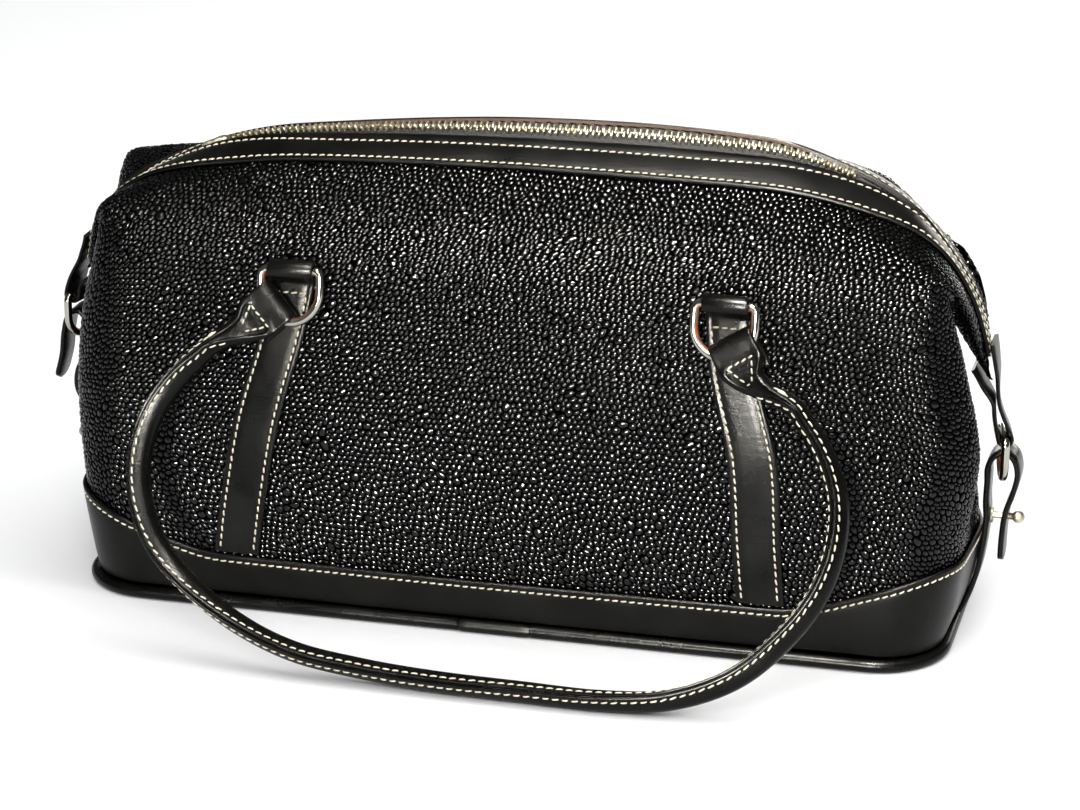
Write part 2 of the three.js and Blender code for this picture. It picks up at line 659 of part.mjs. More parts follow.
for (const face of faces) {
  for (const hand of hands) {
    const { origin, across, up, normal } = ringFrame(face, hand);
    add(`handle_ring_${face}_${hand}`, ringGeometry(handleRing, origin, across, up, normal), 'nickel');
  }
}

// Handles: a rolled tube whose flattened ends fold round the rings
const tabTurn = { left: THREE.MathUtils.degToRad(-138), right: THREE.MathUtils.degToRad(-58) };
const tabFold = handleRing.wire + gap + handleTab.seat + leather.handleTab / 2;
const wireRadius = handleRing.width / 2 + handleRing.wire;
const foldReach = Math.sqrt(wireRadius ** 2 - handleTab.halfWidth ** 2) - 0.5;
function tabSections(face, hand) {
  const { origin, across, up, normal } = ringFrame(face, hand);
  const center = origin.clone().addScaledVector(up, -handleRing.drop);
  const turn = tabTurn[hand];
  const away = across.clone().multiplyScalar(Math.cos(turn)).addScaledVector(up, Math.sin(turn));
  const side = normal.clone().cross(away);
  const place = (reach, off) => center.clone().addScaledVector(away, reach).addScaledVector(normal, off);
  const flat = { halfWidth: handleTab.halfWidth, halfThick: leather.handleTab / 2, power: 6 };
  const inward = normal.clone().negate();
  const sections = [{ at: place(handleTab.reach, -tabFold), side, normal: inward, ...flat }];
  const turns = 6;
  for (let i = 0; i <= turns; i += 1) {
    const angle = -Math.PI / 2 - (Math.PI * i) / turns;
    const facing = away.clone().multiplyScalar(Math.cos(angle)).addScaledVector(normal, Math.sin(angle));
    const at = place(foldReach + tabFold * Math.cos(angle), tabFold * Math.sin(angle));
    sections.push({ at, side, normal: facing, ...flat });
  }
  sections.push({ at: place(handleTab.flatEnd, tabFold), side, normal, ...flat });
  const { reach, halfWidth, halfThick } = tabNeck;
  sections.push({ at: place(reach, tabFold - halfThick / 2), side, normal, halfWidth, halfThick, power: 4 });
  return sections;
}
function handleSections(face) {
  const left = tabSections(face, 'left');
  const right = tabSections(face, 'right').reverse();
  right.forEach((section) => {
    section.side = section.side.clone().negate();
  });
  const flip = face === 'front' ? 1 : -1;
  const routePoints = handlePath.map(({ x, y, z }) => new THREE.Vector3(x, flip * y, z));
  const route = new THREE.CatmullRomCurve3(routePoints);
  const first = left[left.length - 1].normal;
  const middle = [];
  for (let i = 0; i <= handleTube.steps; i += 1) {
    const at = route.getPointAt(i / handleTube.steps);
    const ahead = route.getTangentAt(i / handleTube.steps);
    const side = first.clone().cross(ahead).normalize();
    const normal = ahead.clone().cross(side).normalize();
    middle.push({ at, side, normal, halfWidth: handleTube.radius, halfThick: handleTube.radius, power: 2 });
  }
  return [...left, ...middle, ...right];
}
for (const face of faces) {
  const rings = handleSections(face).map(({ at, side, normal, halfWidth, halfThick, power }) => (
    sectionRing(at, side, normal, halfWidth, halfThick, power, handleTube.sides)
  ));
  add(`handle_${face}`, loft(rings, false), 'smooth');
}

// Ends: leather tab of each ear, its ring, the strap through it and the stud
const wasm = await loadManifold();
wasm.setup();
function toSolid(geometry) {
  const bare = geometry.clone();
  bare.deleteAttribute('normal');
  bare.deleteAttribute('uv');
  const merged = mergeVertices(bare, 1e-4);
  const vertProperties = new Float32Array(merged.attributes.position.array);
  const triVerts = new Uint32Array(merged.index.array);
  return new wasm.Manifold(new wasm.Mesh({ numProp: 3, vertProperties, triVerts }));
}
function toGeometry(solid) {
  const { vertProperties, triVerts } = solid.getMesh();
  const geometry = new THREE.BufferGeometry();
  geometry.setAttribute('position', new THREE.BufferAttribute(new Float32Array(vertProperties), 3));
  geometry.setIndex(new THREE.BufferAttribute(new Uint32Array(triVerts), 1));
  return geometry;
}

// Strap along a run in the end's middle plane, its width turned about Z by a twist that may grow along it
function strapGeometry(run, sign, width, thick, twistAt) {
  const shifted = (amount) => (i, j) => {
    const before = run[Math.max(i - 1, 0)];
    const after = run[Math.min(i + 1, run.length - 1)];
    const ahead = new THREE.Vector2(after.x - before.x, after.z - before.z).normalize();
    const twist = twistAt(i / (run.length - 1));
    const across = (j - 0.5) * width;
    const x = run[i].x - ahead.y * amount - across * Math.sin(twist);
    return new THREE.Vector3(sign * x, across * Math.cos(twist), run[i].z + ahead.x * amount);
  };
  return leaf(run.length, 2, shifted(thick / 2), shifted(-thick / 2));
}
function smoothRun(rows, steps) {
  const curve = new THREE.CatmullRomCurve3(rows.map(({ x, z }) => new THREE.Vector3(x, 0, z)));
  return curve.getSpacedPoints(steps);
}
for (const hand of hands) {
  const sign = hand === 'left' ? -1 : 1;
  const ear = ears[hand];
  const wallX = (z) => Math.abs(skin('front', sign, levelAtZ('front', sign, z), 0).x);
  const strapOut = 2 * layOff + leather.band + leather.endStrap / 2;
  const standing = standingStrap.map(({ z, off }) => ({ x: wallX(z) + strapOut + off, z }));
  const atStud = standing.find(({ z }) => z === stud.height);
  const run = smoothRun([...standing, ...(hand === 'left' ? looseRun : fastenedRun)], 36);
  const strap = toSolid(strapGeometry(run, sign, endStrap.width, leather.endStrap, () => 0));

  const studX = atStud.x + leather.endStrap / 2;
  const neck = studNeck[hand];
  const top = gap + stud.baseThick + neck;
  const profile = [
    [0, gap], [stud.baseRadius, gap], [stud.baseRadius, gap + stud.baseThick],
    [stud.neckRadius, gap + stud.baseThick], [stud.neckRadius, top],
    [stud.ballRadius * 0.8, top + stud.ballRadius * 0.4], [stud.ballRadius, top + stud.ballRadius],
    [stud.ballRadius * 0.8, top + stud.ballRadius * 1.6], [0, top + stud.ballRadius * 1.9],
  ].map(([radius, height]) => new THREE.Vector2(radius, height));
  const studGeometry = new THREE.LatheGeometry(profile, 10);
  studGeometry.rotateZ(-sign * Math.PI / 2);
  studGeometry.translate(sign * studX, 0, stud.height);
  add(`stud_${hand}`, studGeometry, 'zipMetal');

  const holeLength = neck + stud.baseThick;
  const hole = new THREE.CylinderGeometry(stud.holeRadius, stud.holeRadius, holeLength, 12);
  hole.rotateZ(Math.PI / 2);
  hole.translate(sign * (studX + gap + 2 * stud.baseThick + neck / 2), 0, stud.height);
  add(`end_strap_${hand}`, toGeometry(strap.subtract(toSolid(hole))), 'smooth');

  const across = new THREE.Vector3(-sign * Math.sin(endRing.twist), Math.cos(endRing.twist), 0);
  const up = new THREE.Vector3(0, 0, 1);
  const bar = new THREE.Vector3(sign * ear.barX, 0, ear.barZ);
  const facing = across.clone().cross(up);
  add(`end_ring_${hand}`, ringGeometry(endRing, bar, across, up, facing), 'nickel');

  const fold = endRing.wire + gap + leather.strip / 2;
  const tab = [];
  const ridgeOut = layOff + leather.binding + 3 * gap + leather.strip / 2;
  const earEdge = (station) => skin('front', sign * station, ridgeLevel, 0);
  const earSide = (z) => Math.abs(earEdge(placeWhere((at) => -earEdge(at).z, -z, leftEar.start, 1)).x);
  const hugs = 3;
  for (let i = 0; i <= hugs; i += 1) {
    const z = ear.outerTop + ((ear.hugEnd - ear.outerTop) * i) / hugs;
    tab.push({ x: earSide(z) + ridgeOut, z });
  }
  tab.push(...ear.outerRun);
  const turns = 6;
  for (let i = 0; i <= turns; i += 1) {
    const turn = (-Math.PI * i) / turns;
    tab.push({ x: ear.barX + fold * Math.cos(turn), z: ear.barZ + fold * Math.sin(turn) });
  }
  tab.push(...ear.innerRun);
  for (const level of ear.innerLevels) {
    const inside = skin('front', sign, level, layOff + gap + leather.strip / 2);
    tab.push({ x: Math.abs(inside.x), z: inside.z });
  }
  const twistAt = (share) => (
    endRing.twist * easeBetween(0, tabTwist.full, share) * (1 - easeBetween(tabTwist.ease, 1, share))
  );
  const tabRun = smoothRun(tab, 34);
  add(`ear_tab_${hand}`, strapGeometry(tabRun, sign, endStrap.tabWidth, leather.strip, twistAt), 'smooth');
}

export default bag;
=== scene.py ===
import math

import bmesh
import bpy
import numpy as np
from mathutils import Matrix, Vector
from mathutils.geometry import delaunay_2d_cdt


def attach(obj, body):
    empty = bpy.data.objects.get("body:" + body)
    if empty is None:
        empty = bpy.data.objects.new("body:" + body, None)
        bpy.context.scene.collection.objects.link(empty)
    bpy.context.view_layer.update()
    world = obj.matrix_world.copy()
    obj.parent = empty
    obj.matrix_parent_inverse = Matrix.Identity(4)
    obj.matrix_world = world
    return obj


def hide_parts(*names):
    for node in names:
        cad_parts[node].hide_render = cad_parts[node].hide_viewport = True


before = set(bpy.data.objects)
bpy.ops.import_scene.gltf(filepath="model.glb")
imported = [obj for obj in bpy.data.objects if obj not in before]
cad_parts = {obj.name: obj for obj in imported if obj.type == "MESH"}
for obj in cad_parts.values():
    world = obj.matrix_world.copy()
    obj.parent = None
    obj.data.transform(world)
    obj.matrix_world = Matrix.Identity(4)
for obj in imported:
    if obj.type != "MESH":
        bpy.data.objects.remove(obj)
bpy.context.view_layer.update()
chance = np.random.default_rng(11)
mm = 0.001
# The back mirrors the front and the left the right, by these signs
faces = {"front": 1, "back": -1}
hands = {"left": -1, "right": 1}
print("frame loaded")

# Body leather in millimetres: plan sections up the wall, with the bow and sag of its ends
wall = {
    "z": (2.8, 26, 60, 100, 140),
    "left": (205, 209, 214.5, 217.5, 214.5),
    "right": (205, 211, 217, 225, 216.5),
    "halfDepth": (67.5, 71.5, 73, 72, 65),
    "corner": (28, 32, 36, 40, 36),
    "leftBow": (0, 3, 3.5, -1.5, -13.5),
    "rightBow": (0, 3, 0, -17, -19.5),
    "rightSkew": (0, 3, 14, 29, 25),
}
skewEase = {"start": 0.3, "full": 0.75}
# Upper folds by station out from the middle: the shoulder or pocket, then the roof or ear edge
folds = {
    "station": (0, 0.42, 0.62, 0.7, 0.775, 0.855, 0.93, 1),
    "pocketX": (0, 112, 164, 185, 201, 205, 203, 200),
    "pocketY": (54, 55, 56, 54, 46, 33, 17, 0),
    "pocketZ": (176, 175, 174, 175, 176, 168, 157, 150),
    "edgeX": (0, 112, 164, 186, 204, 213, 216.5, 217),
    "edgeY": (34, 35, 36, 36, 37, 27, 15, 0),
    "edgeZ": (203, 201, 195, 189, 180, 162, 141, 125),
}
# Ridge from ear tip to ear tip: zip line, half the open gap, and how far off it the two edges sit
ridge = {
    "station": (-1, -0.93, -0.855, -0.77, -0.69, -0.56, -0.42, 0, 0.42, 0.56, 0.69, 0.77, 0.855, 0.93, 1),
    "x": (-220.5, -218.5, -215.5, -201, -183, -150, -112, 0, 112, 150, 179.5, 194.5, 208, 216, 220.5),
    "z": (122, 147, 169, 183.5, 196.5, 211.5, 219, 229, 227, 216.5, 202, 187, 167.5, 147, 122),
    "halfGap": (1, 1, 1, 1, 1, 3, 5.5, 6, 6, 3, 1, 1, 1, 1, 1),
    "drop": (0, 0, 0, 0, 0, 0, 0.5, 5, 4, 1, 0, 0, 0, 0, 0),
    "rise": (0, 0, 0, 0, 0, 0.5, 1, 1.5, 1.5, 0.5, 0, 0, 0, 0, 0),
}
leftEar = {"start": 0.8, "out": 4, "lift": 19, "pocketLift": 15}
shoulders = {
    ("front", "left"): {"lift": 8, "out": -2},
    ("front", "right"): {"lift": 2, "out": 0},
    ("back", "left"): {"lift": 8, "out": 14},
    ("back", "right"): {"lift": -0.7, "out": -12.9},
}
shoulderEase = {"start": 0.5, "full": 0.76, "end": 0.92}
# Soft dents and swells: station, level, spread of each, depth inwards
dents = {
    "front": ((0.62, 3.1, 0.07, 1.5, 5), (0.3, 4.9, 0.14, 0.8, 3), (0.52, 5.6, 0.12, 0.7, -4),
              (-0.55, 3.6, 0.1, 1.2, 4), (-0.05, 2.2, 0.22, 1, -3)),
    "back": ((0.1, 4.2, 0.2, 1, 4), (-0.6, 3, 0.08, 1.4, 4), (0.6, 6.42, 0.087, 0.3, -9.5)),
}
ridgeLevel = 7
shoulderLevel = 5
bindingLevel = 6.48
bindingNarrow = {"front": {"start": 0.62, "full": 0.82, "rise": 0.16},
                 "back": {"start": 0.4, "full": 0.62, "rise": 0.3}}
seamGap = 0.15
normalStep = {"station": 0.004, "level": 0.03}
pebblePitch = 2.95
leather = {"panel": 2, "band": 1.8, "binding": 1.5, "strip": 2, "endStrap": 2.6, "tab": 2.2, "layOff": 0.45}


def easeBetween(low, high, at):
    s = np.clip((at - low) / (high - low), 0, 1)
    return s * s * (3 - 2 * s)


# Cubic from one value to the next, leaving and arriving at the given slopes
def cubic(start, end, lead, trail, s):
    return start + (end - start) * s * s * (3 - 2 * s) + lead * s * (1 - s) ** 2 + trail * s * s * (s - 1)


def neighbours(count):
    k = np.arange(count)
    return np.maximum(k - 1, 0), np.minimum(k + 1, count - 1)


# Cubic curve through the rows of a table
def curveAt(knots, values, at):
    knots = np.asarray(knots, float)
    values = np.asarray(values, float)
    before, after = neighbours(len(knots))
    slope = (values[after] - values[before]) / (knots[after] - knots[before])
    i = np.clip(np.searchsorted(knots, at) - 1, 0, len(knots) - 2)
    span = knots[i + 1] - knots[i]
    return cubic(values[i], values[i + 1], span * slope[i], span * slope[i + 1], (at - knots[i]) / span)


# One level of the wall: half a rounded rectangle with a bowed end, for stations from -1 to 1
def wallPoints(row, face, station):
    right = station >= 0
    depth = wall["halfDepth"][row]
    corner = wall["corner"][row]
    halfLength = np.where(right, wall["right"][row], wall["left"][row])
    bow = np.where(right, wall["rightBow"][row], wall["leftBow"][row])
    skew = np.where(right, wall["rightSkew"][row], 0) * (face == "back")
    straight = halfLength - corner
    along = np.abs(station) * (straight + corner * math.pi / 2 + depth - corner)
    turn = np.clip((along - straight) / corner, 0, math.pi / 2)
    past = np.maximum(along - straight - corner * math.pi / 2, 0)
    x = np.minimum(along, straight) + corner * np.sin(turn)
    y = corner - depth - corner * np.cos(turn) + past
    share = easeBetween(0, depth - corner / 2, -y)
    skewed = share * easeBetween(skewEase["start"], skewEase["full"], np.abs(station))
    x = x + bow * (1 - share) - skew * skewed
    return np.stack([np.where(right, x, -x), y, np.full_like(x, wall["z"][row])], -1)


# The eight level points of each station, base to ridge
def bodyLevels(face, station):
    out = np.abs(station)
    side = np.where(station < 0, -1.0, 1.0)
    levels = [wallPoints(row, face, station) for row in range(len(wall["z"]))]
    ear = np.clip((out - leftEar["start"]) / (1 - leftEar["start"]), 0, None) ** 2 * (side < 0)
    full = shoulderEase["full"]
    share = easeBetween(shoulderEase["start"], full, out) * (1 - easeBetween(full, shoulderEase["end"], out))
    left, right = (shoulders[face, hand] for hand in hands)
    lift = np.where(side < 0, left["lift"], right["lift"]) * share
    push = np.where(side < 0, left["out"], right["out"]) * share
    fold = {key: curveAt(folds["station"], folds[key], out) for key in folds if key != "station"}
    top = {key: curveAt(ridge["station"], ridge[key], station) for key in ridge if key != "station"}
    pocketZ = fold["pocketZ"] + lift + leftEar["pocketLift"] * ear
    levels.append(np.stack([side * (fold["pocketX"] + push), -fold["pocketY"], pocketZ], -1))
    edgeX = side * (fold["edgeX"] + push + leftEar["out"] * ear)
    levels.append(np.stack([edgeX, -fold["edgeY"], fold["edgeZ"] + lift + leftEar["lift"] * ear], -1))
    shift = -top["drop"] if face == "front" else top["rise"]
    ridgeZ = top["z"] + shift + leftEar["lift"] * ear
    levels.append(np.stack([top["x"] - leftEar["out"] * ear, -top["halfGap"], ridgeZ], -1))
    points = np.stack(levels, -2)
    points[..., 1] *= faces[face]
    return points


def bareSkin(face, station, level):
    rows = bodyLevels(face, station)
    before, after = neighbours(rows.shape[1])
    slope = (rows[:, after] - rows[:, before]) / (after - before)[None, :, None]
    n = np.arange(len(level))
    i = np.clip(np.ceil(level).astype(int) - 1, 0, rows.shape[1] - 2)
    return cubic(rows[n, i], rows[n, i + 1], slope[n, i], slope[n, i + 1], (level - i)[:, None])


def dentDepth(face, station, level):
    depth = np.zeros_like(station)
    for at, height, wide, tall, deep in dents[face]:
        depth += deep * np.exp(-(((station - at) / wide) ** 2 + ((level - height) / tall) ** 2) / 2)
    return depth


# Points and outward normals of the body leather, stood off along the normal
def skin(face, station, level, off=0.0):
    station, level, off = np.broadcast_arrays(*(np.asarray(v, float) for v in (station, level, off)))
    shape = station.shape
    s, l = station.ravel(), level.ravel()
    ds, dl = normalStep["station"], normalStep["level"]
    along = bareSkin(face, np.minimum(s + ds, 1), l) - bareSkin(face, np.maximum(s - ds, -1), l)
    up = bareSkin(face, s, np.minimum(l + dl, ridgeLevel)) - bareSkin(face, s, np.maximum(l - dl, 0))
    normal = unit(np.cross(along, up)) * faces[face]
    points = bareSkin(face, s, l) + normal * (off.ravel() - dentDepth(face, s, l))[:, None]
    points[:, 1] = faces[face] * np.minimum(faces[face] * points[:, 1], -seamGap)
    return points.reshape(*shape, 3), normal.reshape(*shape, 3)


# Place between two limits where a rising measure reaches a target, by halving
def placeWhere(measure, target, low, high):
    low = np.full(np.shape(target), low, float)
    high = np.full(np.shape(target), high, float)
    for _ in range(30):
        middle = (low + high) / 2
        under = measure(middle) < target
        low = np.where(under, middle, low)
        high = np.where(under, high, middle)
    return (low + high) / 2


def levelAtZ(face, station, z):
    station, z = np.broadcast_arrays(station, z)
    s = station.ravel()
    found = placeWhere(lambda level: bareSkin(face, s, level)[:, 2], z.ravel(), 0, shoulderLevel)
    return found.reshape(z.shape)


def unit(v):
    return v / np.linalg.norm(v, axis=-1, keepdims=True)


# Centripetal curve between the middle two of four points, paced by the gaps between them
def curvePiece(four, gaps, s):
    a, b, c, d = four
    before, here, after = gaps
    lead = ((b - a) / before - (c - a) / (before + here) + (c - b) / here) * here
    trail = ((c - b) / here - (d - b) / (here + after) + (d - c) / after) * here
    return cubic(b, c, lead, trail, s)


# Curve through points, spaced evenly along its length
def curveThrough(points, steps):
    p = np.asarray(points, float)
    p = np.vstack([2 * p[0] - p[1], p, 2 * p[-1] - p[-2]])
    gaps = np.linalg.norm(np.diff(p, axis=0), axis=1) ** 0.5
    s = np.linspace(0, 1, 40, endpoint=False)[:, None]
    run = [curvePiece(p[i - 1:i + 3], gaps[i - 1:i + 2], s) for i in range(1, len(p) - 2)]
    return resample(np.vstack([*run, p[-2:-1]]), steps)


def lengths(run):
    return np.concatenate([[0], np.cumsum(np.linalg.norm(np.diff(run, axis=0), axis=1))])


def readAlong(at, travelled, rows):
    return np.stack([np.interp(at, travelled, column) for column in rows.T], 1)


def resample(run, steps):
    travelled = lengths(run)
    return readAlong(np.linspace(0, travelled[-1], steps + 1), travelled, run)


def roundTurn(sides, start=0.0):
    return (np.arange(sides) + start) / sides * 2 * math.pi


# Rings of corners round a line, each so far across and so far up from it
def ringsRound(line, across, up, wide, tall):
    return line[:, None] + across[:, None] * wide[..., None] + up[:, None] * tall[..., None]


# Quads between rings of points; an open run is capped at both ends
def loft(rings, loop=False):
    count, sides = rings.shape[:2]
    i = np.arange(count if loop else count - 1)[:, None]
    j = np.arange(sides)[None, :]
    k = (j + 1) % sides
    following = (i + 1) % count
    quads = np.stack([i * sides + j, i * sides + k, following * sides + k, following * sides + j], -1)
    shapes = quads.reshape(-1, 4).tolist()
    if not loop:
        shapes.append(list(range(sides))[::-1])
        shapes.append(list(range((count - 1) * sides, count * sides)))
    return rings.reshape(-1, 3), shapes


def linkPiece(name, mesh, finishes, replaced=()):
    for finish in finishes:
        mesh.materials.append(finish)
    piece = bpy.data.objects.new(name, mesh)
    bpy.context.scene.collection.objects.link(piece)
    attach(piece, "root")
    if replaced:
        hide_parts(*replaced)
    return piece


# One piece from closed parts in millimetres; each part is points, faces and a finish for each face or for all
def makePiece(name, parts, finishes, replaced=(), sharpAngle=50):
    points, shapes, marks = [], [], []
    start = 0
    for partPoints, partShapes, mark in parts:
        points.append(partPoints)
        shapes += [[start + corner for corner in shape] for shape in partShapes]
        marks += [mark] * len(partShapes) if np.isscalar(mark) else list(mark)
        start += len(partPoints)
    mesh = bpy.data.meshes.new(name)
    mesh.from_pydata((np.vstack(points) * mm).tolist(), [], shapes)
    mesh.polygons.foreach_set("material_index", marks)
    shell = bmesh.new()
    shell.from_mesh(mesh)
    bmesh.ops.recalc_face_normals(shell, faces=shell.faces)
    shell.to_mesh(mesh)
    shell.free()
    mesh.polygons.foreach_set("use_smooth", [True] * len(mesh.polygons))
    mesh.set_sharp_from_angle(angle=math.radians(sharpAngle))
    return linkPiece(name, mesh, finishes, replaced)


# A lofted piece that stands for the CAD node of its own name
def loftPiece(name, rings, finish, loop=False, sharpAngle=50):
    return makePiece(name, [(*loft(rings, loop), 0)], [finish], [name], sharpAngle)


# Finishes: colours are sRGB hex, turned to linear here; pattern sizes and depths are in millimetres
def linear(hexColour):
    parts = [int(hexColour[i:i + 2], 16) / 255 for i in (1, 3, 5)]
    return tuple(c / 12.92 if c <= 0.04045 else ((c + 0.055) / 1.055) ** 2.4 for c in parts) + (1.0,)


def perMetre(sizeMm):
    return 1000 / sizeMm


# Links or sets inputs by name, or by place as i0 and i1; a node stands for its first output
def setInputs(tree, node, **inputs):
    for key, value in inputs.items():
        socket = node.inputs[int(key[1:]) if key in ("i0", "i1") else key.replace("_", " ")]
        if isinstance(value, bpy.types.Node):
            value = value.outputs[0]
        if isinstance(value, bpy.types.NodeSocket):
            tree.links.new(value, socket)
        else:
            socket.default_value = value


# Adds a node with its settings, a ramp's stops and its inputs
def addNode(tree, kind, settings=None, stops=(), **inputs):
    node = tree.nodes.new(kind)
    for key, value in (settings or {}).items():
        setattr(node, key, value)
    for k, (position, tone) in enumerate(stops):
        node.color_ramp.elements[k].position = position
        node.color_ramp.elements[k].color = linear(tone)
    setInputs(tree, node, **inputs)
    return node


def startFinish(name):
    finish = bpy.data.materials.new(name)
    finish.use_nodes = True
    tree = finish.node_tree
    place = addNode(tree, "ShaderNodeTexCoord").outputs["Object"]
    return finish, tree, tree.nodes["Principled BSDF"], place


# Embossed cowhide with a pigment top coat: black domes that catch small bright glints, dull grooves darkened
# with painted shade.
# Pebble sheets carry their own height, and the panels' inner face has the same grain drawn
def embossedCowhide(name, modelled):
    finish, tree, shader, place = startFinish(name)
    relief = {}
    if modelled:
        height = addNode(tree, "ShaderNodeAttribute", {"attribute_name": "grainHeight"}).outputs["Fac"]
    else:
        cells = addNode(tree, "ShaderNodeTexVoronoi", Vector=place, Scale=perMetre(pebblePitch))
        height = addNode(tree, "ShaderNodeMapRange", Value=cells, From_Min=0.2, From_Max=0.7, To_Min=1.0,
                         To_Max=0.0)
        relief = {"Normal": addNode(tree, "ShaderNodeBump", Height=height, Strength=0.9, Distance=0.8 * mm)}
    pores = addNode(tree, "ShaderNodeTexNoise", Vector=place, Scale=perMetre(0.5), Detail=3.0)
    wear = addNode(tree, "ShaderNodeTexNoise", Vector=place, Scale=perMetre(38), Detail=2.0)
    # Colour by grain height: the grooves are painted darker than the dome tops, painted shade in the grooves
    # over the pigment's black
    tone = addNode(tree, "ShaderNodeValToRGB", stops=((0.0, "#010101"), (1.0, "#090908")), Fac=height)
    gloss = addNode(tree, "ShaderNodeMapRange", Value=height, From_Min=0.3, From_Max=0.8, To_Min=0.5,
                    To_Max=0.13)
    patchy = addNode(tree, "ShaderNodeMapRange", Value=wear, To_Min=-0.04, To_Max=0.05)
    rough = addNode(tree, "ShaderNodeMath", {"operation": "ADD"}, i0=gloss, i1=patchy)
    shine = addNode(tree, "ShaderNodeMapRange", Value=height, From_Min=0.46, From_Max=0.85, To_Min=0.0,
                    To_Max=0.24 if modelled else 0.7)
    bump = addNode(tree, "ShaderNodeBump", Height=pores, Strength=0.25, Distance=0.12 * mm, **relief)
    setInputs(tree, shader, Base_Color=tone, Roughness=rough, Specular_IOR_Level=shine, Normal=bump)
    return finish


# Smooth vegetable-dyed leather, waxed: satin black with fine pores, long pulls, faint creases, dull patches
def waxedLeather(name, tones, rough, pullSize, pullDepth, shine):
    finish, tree, shader, place = startFinish(name)
    drawn = addNode(tree, "ShaderNodeMapping", Vector=place, Scale=[perMetre(size) for size in pullSize])
    pulls = addNode(tree, "ShaderNodeTexNoise", Vector=drawn, Scale=1.0, Detail=3.0, Roughness=0.6)
    pores = addNode(tree, "ShaderNodeTexNoise", Vector=place, Scale=perMetre(0.7), Detail=4.0)
    cells = addNode(tree, "ShaderNodeTexVoronoi", {"feature": "DISTANCE_TO_EDGE"}, Vector=place,
                    Scale=perMetre(4))
    creases = addNode(tree, "ShaderNodeMapRange", Value=cells, From_Max=0.06)
    blotch = addNode(tree, "ShaderNodeTexNoise", Vector=place, Scale=perMetre(26), Detail=5.0, Roughness=0.62)
    shade = addNode(tree, "ShaderNodeValToRGB", stops=((0.3, tones[0]), (0.75, tones[1])), Fac=blotch)
    dull = addNode(tree, "ShaderNodeMapRange", Value=blotch, From_Min=0.3, From_Max=0.7, To_Min=rough[0],
                   To_Max=rough[1])
    bump = addNode(tree, "ShaderNodeBump", Height=pores, Strength=0.22, Distance=0.1 * mm)
    bump = addNode(tree, "ShaderNodeBump", Height=pulls, Strength=0.35, Distance=pullDepth * mm, Normal=bump)
    bump = addNode(tree, "ShaderNodeBump", Height=creases, Strength=0.12, Distance=0.2 * mm, Normal=bump)
    setInputs(tree, shader, Base_Color=shade, Roughness=dull, Specular_IOR_Level=shine, Normal=bump)
    return finish


# Flesh side of the hide, buffed: tan and dull, with a short nap
def buffedSuede():
    finish, tree, shader, place = startFinish("buffedSuede")
    nap = addNode(tree, "ShaderNodeTexNoise", Vector=place, Scale=perMetre(0.9), Detail=5.0, Roughness=0.7)
    shade = addNode(tree, "ShaderNodeValToRGB", stops=((0.0, "#2c1c0e"), (1.0, "#6e4b28")), Fac=nap)
    bump = addNode(tree, "ShaderNodeBump", Height=nap, Strength=0.5, Distance=0.3 * mm)
    setInputs(tree, shader, Base_Color=shade, Roughness=0.92, Sheen_Weight=0.3, Normal=bump)
    return finish


# Waxed linen thread, twisted: cream with darker plies, slightly glossy
def waxedLinenThread():
    finish, tree, shader, place = startFinish("waxedLinenThread")
    plies = addNode(tree, "ShaderNodeTexNoise", Vector=place, Scale=perMetre(0.8), Detail=2.0)
    shade = addNode(tree, "ShaderNodeValToRGB", stops=((0.25, "#c9bd98"), (0.6, "#f1e8cf")), Fac=plies)
    bump = addNode(tree, "ShaderNodeBump", Height=plies, Strength=0.4, Distance=0.2 * mm)
    setInputs(tree, shader, Base_Color=shade, Roughness=0.55, Normal=bump)
    return finish


# Herringbone cotton zip tape: matt black with a diagonal rib, drawn coarser than the real one so that it shows
def wovenCottonTape():
    finish, tree, shader, place = startFinish("wovenCottonTape")
    ribStep = 2.734
    ribScale = perMetre(ribStep * math.sqrt(3)) * math.pi / 5  # diagonal bands repeat every pi / 5 of x + y + z
    wave = addNode(tree, "ShaderNodeTexWave", {"bands_direction": "DIAGONAL"}, Vector=place, Scale=ribScale)
    rib = wave.outputs["Fac"]
    shade = addNode(tree, "ShaderNodeValToRGB", stops=((0.0, "#0b0b0c"), (1.0, "#202022")), Fac=rib)
    bump = addNode(tree, "ShaderNodeBump", Height=rib, Strength=0.5, Distance=0.2 * mm)
    setInputs(tree, shader, Base_Color=shade, Roughness=0.9, Normal=bump)
    return finish


# Polished nickel plate on copper: bright mirror wire, worn through to copper where leather rubs the inside
def polishedNickel():
    finish, tree, shader, place = startFinish("polishedNickel")
    worn = addNode(tree, "ShaderNodeAttribute", {"attribute_name": "plateWear"}).outputs["Fac"]
    rubs = addNode(tree, "ShaderNodeTexNoise", Vector=place, Scale=perMetre(5), Detail=3.0)
    patch = addNode(tree, "ShaderNodeMath", {"operation": "MULTIPLY"}, i0=worn, i1=rubs)
    shade = addNode(tree, "ShaderNodeValToRGB", stops=((0.36, "#a9a59c"), (0.5, "#d8703c")), Fac=patch)
    rough = addNode(tree, "ShaderNodeMapRange", Value=patch, From_Max=0.5, To_Min=0.1, To_Max=0.4)
    setInputs(tree, shader, Base_Color=shade, Roughness=rough, Metallic=1.0)
    return finish


# Tumbled pale brass: silvery gold teeth and studs with softened edges
def tumbledBrass():
    finish, tree, shader, place = startFinish("tumbledBrass")
    tarnish = addNode(tree, "ShaderNodeTexNoise", Vector=place, Scale=perMetre(3), Detail=4.0)
    shade = addNode(tree, "ShaderNodeValToRGB", stops=((0.3, "#7d755c"), (0.6, "#cbc4b0")), Fac=tarnish)
    rough = addNode(tree, "ShaderNodeMapRange", Value=tarnish, To_Min=0.5, To_Max=0.34)
    setInputs(tree, shader, Base_Color=shade, Roughness=rough, Metallic=1.0)
    return finish


